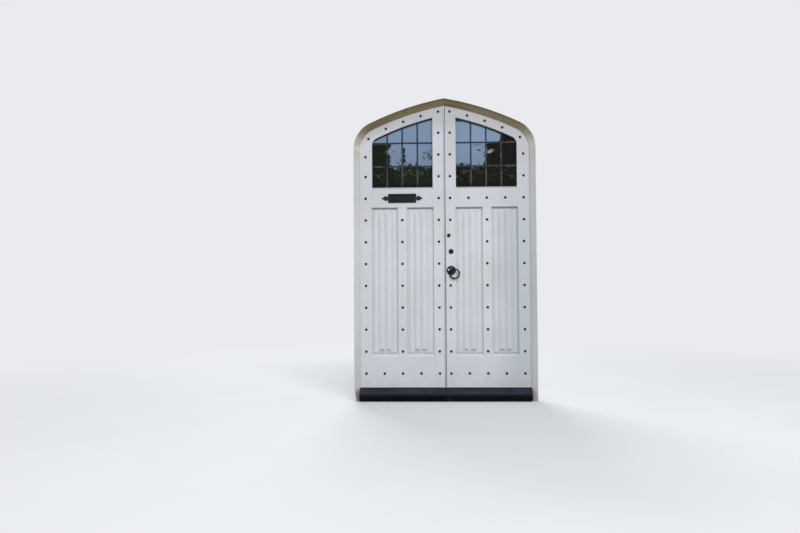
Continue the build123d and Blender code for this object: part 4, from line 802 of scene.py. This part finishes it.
def solder(mesh, x, y, z, side, seed):
    """Flat blob of solder over a crossing of the cames, on one face of the light."""
    rings = []
    for share, rise in BLOB:
        ring = []
        for k in range(BLOB_SIDES):
            angle = math.tau * k / BLOB_SIDES
            wave = 1 + 0.10 * math.sin(2 * angle + seed) + 0.07 * math.sin(3 * angle + 2.3 * seed)
            reach = BLOB_RADIUS * share * wave
            place = (x + reach * math.cos(angle), y + side * BLOB_RISE * rise, z + reach * math.sin(angle))
            ring.append(mesh.verts.new(place))
        rings.append(ring)
    for lower, upper in zip(rings, rings[1:]):
        for k in range(BLOB_SIDES):
            after = (k + 1) % BLOB_SIDES
            face = (lower[k], lower[after], upper[after], upper[k])
            mesh.faces.new(face if side < 0 else face[::-1])
    mesh.faces.new(rings[-1] if side < 0 else rings[-1][::-1])
    mesh.faces.new(rings[0][::-1] if side < 0 else rings[0])


for side, sign in (("left", -1), ("right", 1)):
    mesh = bmesh.new()
    for row in LIGHT_ROWS:
        for column in range(1, LIGHT_PANES):
            x = sign * (LIGHT_INNER + column * LIGHT_PITCH)
            solder(mesh, x, CAME_FRONT + BLOB_LET_IN, row, -1, 3 * column + 7 * row)
            solder(mesh, x, CAME_BACK - BLOB_LET_IN, row, 1, 5 * column + 4 * row)
    joints = piece("came_joints_" + side, mesh, old_lead, "leaf_" + side)
    for polygon in joints.data.polygons:
        polygon.use_smooth = True

# Rounded wood in the outer top corner of each light, let 0.8 mm into the stile and the rail
CORNER_RADIUS = 0.060
CORNER_LET_IN = 0.0008
CORNER_FACES = (0.0002, 0.0202)
CORNER_STEPS = 16


def corner_outline():
    """(across, up) of the points round the block in the right light."""
    edge = LIGHT_INNER + LIGHT_PANES * LIGHT_PITCH
    reach = LARGE_RADIUS - TOP_RAIL
    tip = LARGE_CENTRE[1] + math.sqrt(reach ** 2 - (edge + LARGE_CENTRE[0]) ** 2)
    x = edge - CORNER_RADIUS
    run = x + LARGE_CENTRE[0]
    rise = math.sqrt((reach - CORNER_RADIUS) ** 2 - run ** 2)
    z = LARGE_CENTRE[1] + rise
    top = math.atan2(rise, run)
    far = CORNER_RADIUS + CORNER_LET_IN
    points = [(edge + CORNER_LET_IN, z), (edge + CORNER_LET_IN, tip + 0.0005),
              (x + far * math.cos(top), z + far * math.sin(top))]
    for k in range(CORNER_STEPS + 1):
        angle = top * (1 - k / CORNER_STEPS)
        points.append((x + CORNER_RADIUS * math.cos(angle), z + CORNER_RADIUS * math.sin(angle)))
    return points


for side, sign in (("left", -1), ("right", 1)):
    mesh = bmesh.new()
    front, behind = [[mesh.verts.new((sign * x, y, z)) for x, z in corner_outline()] for y in CORNER_FACES]
    for k in range(len(front)):
        after = (k + 1) % len(front)
        mesh.faces.new((front[k], front[after], behind[after], behind[k]))
    mesh.faces.new(front)
    mesh.faces.new(behind[::-1])
    bmesh.ops.recalc_face_normals(mesh, faces=mesh.faces)
    piece("light_corner_" + side, mesh, upright, "leaf_" + side)


# Floor, world, lamps and camera
BACKGROUND = srgb(233, 235, 238)
DAYLIGHT = (0.95, 0.98, 1.0, 1.0)
DAYLIGHT_STRENGTH = 0.45
FLOOR_RADIUS = 60.0
FLOOR_FADE = (1.6, 6.0)            # metres from the door at which the floor starts to fade and is gone
LAMP_COLOUR = (0.98, 0.985, 1.0)
LAMP_SIZE = (5.0, 3.0)
LAMP_AIM = (0, 0, 1.1)


def seen_only(tree):
    """1 for camera, glossy and transmission rays."""
    path = tree.nodes.new("ShaderNodeLightPath")
    seen = path.outputs["Is Camera Ray"]
    for ray in ("Is Glossy Ray", "Is Transmission Ray"):
        either = tree.nodes.new("ShaderNodeMath")
        either.operation = "MAXIMUM"
        tree.links.new(seen, either.inputs[0])
        tree.links.new(path.outputs[ray], either.inputs[1])
        seen = either.outputs[0]
    return seen


def background(tree, colour, strength):
    node = tree.nodes.new("ShaderNodeBackground")
    node.inputs["Color"].default_value = colour
    node.inputs["Strength"].default_value = strength
    return node.outputs[0]


world = bpy.data.worlds.new("studio")
scene.world = world
world.use_nodes = True
tree = world.node_tree
tree.nodes.clear()
blend = tree.nodes.new("ShaderNodeMixShader")
tree.links.new(seen_only(tree), blend.inputs[0])
tree.links.new(background(tree, DAYLIGHT, DAYLIGHT_STRENGTH), blend.inputs[1])
tree.links.new(background(tree, BACKGROUND, 1.0), blend.inputs[2])
output = tree.nodes.new("ShaderNodeOutputWorld")
tree.links.new(blend.outputs[0], output.inputs["Surface"])

# The floor fades into the background away from the door
floor_net = Net("pale_floor", Specular_IOR_Level=0.1, Roughness=0.9)
mottle = floor_net.mix(floor_net.noise(1.4, detail=4), srgb(212, 213, 215), srgb(219, 220, 222))
floor_net.feed(mottle, floor_net.shader.inputs["Base Color"])
distance = floor_net.add("ShaderNodeVectorMath", operation="LENGTH")
floor_net.feed(floor_net.place, distance.inputs[0])
far = floor_net.step(distance.outputs["Value"], *FLOOR_FADE)
glow = floor_net.add("ShaderNodeEmission")
glow.inputs["Color"].default_value = BACKGROUND
fade = floor_net.add("ShaderNodeMixShader")
floor_net.feed(floor_net.times(far, seen_only(floor_net.tree)), fade.inputs[0])
floor_net.feed(floor_net.shader.outputs[0], fade.inputs[1])
floor_net.feed(glow.outputs[0], fade.inputs[2])
floor_net.feed(fade.outputs[0], floor_net.output.inputs["Surface"])
data = bpy.data.meshes.new("floor")
ground = bmesh.new()
bmesh.ops.create_circle(ground, cap_ends=True, segments=96, radius=FLOOR_RADIUS)
ground.to_mesh(data)
ground.free()
floor = bpy.data.objects.new("floor", data)
floor.location = (0, 0, cad_bounds[0][2])
scene.collection.objects.link(floor)
data.materials.append(floor_net.material)


def lamp(name, place, power):
    """Soft rectangular lamp looking at the door."""
    data = bpy.data.lights.new(name, "AREA")
    data.shape = "RECTANGLE"
    data.size, data.size_y = LAMP_SIZE
    data.energy = power
    data.color = LAMP_COLOUR
    obj = bpy.data.objects.new(name, data)
    obj.location = place
    obj.rotation_euler = (Vector(LAMP_AIM) - Vector(place)).to_track_quat("-Z", "Y").to_euler()
    scene.collection.objects.link(obj)


lamp("sky_front", (1.8, -7.0, 6.8), 640)
lamp("sky_back", (-1.8, 7.0, 6.8), 560)

# Camera fitted to the grid of studs in the photograph
PHOTO_WIDTH = 800                  # pixels
FOCAL_LENGTH = 700                 # pixels
SENSOR = 36                        # millimetres
CAMERA_PLACE = (-0.16126, -5.4373, 0.89938)
camera_data = bpy.data.cameras.new("camera")
camera_data.sensor_width = SENSOR
camera_data.lens = FOCAL_LENGTH * SENSOR / PHOTO_WIDTH
camera = bpy.data.objects.new("camera", camera_data)
right = Vector((0.999386, 0.034546, -0.005803))
up = Vector((0.006635, -0.024024, 0.999689))
back = Vector((0.034396, -0.999114, -0.024239))
matrix = Matrix((right, up, back)).transposed().to_4x4()
matrix.translation = CAMERA_PLACE
camera.matrix_world = matrix
scene.collection.objects.link(camera)
scene.camera = camera

scene.view_settings.view_transform = "Standard"
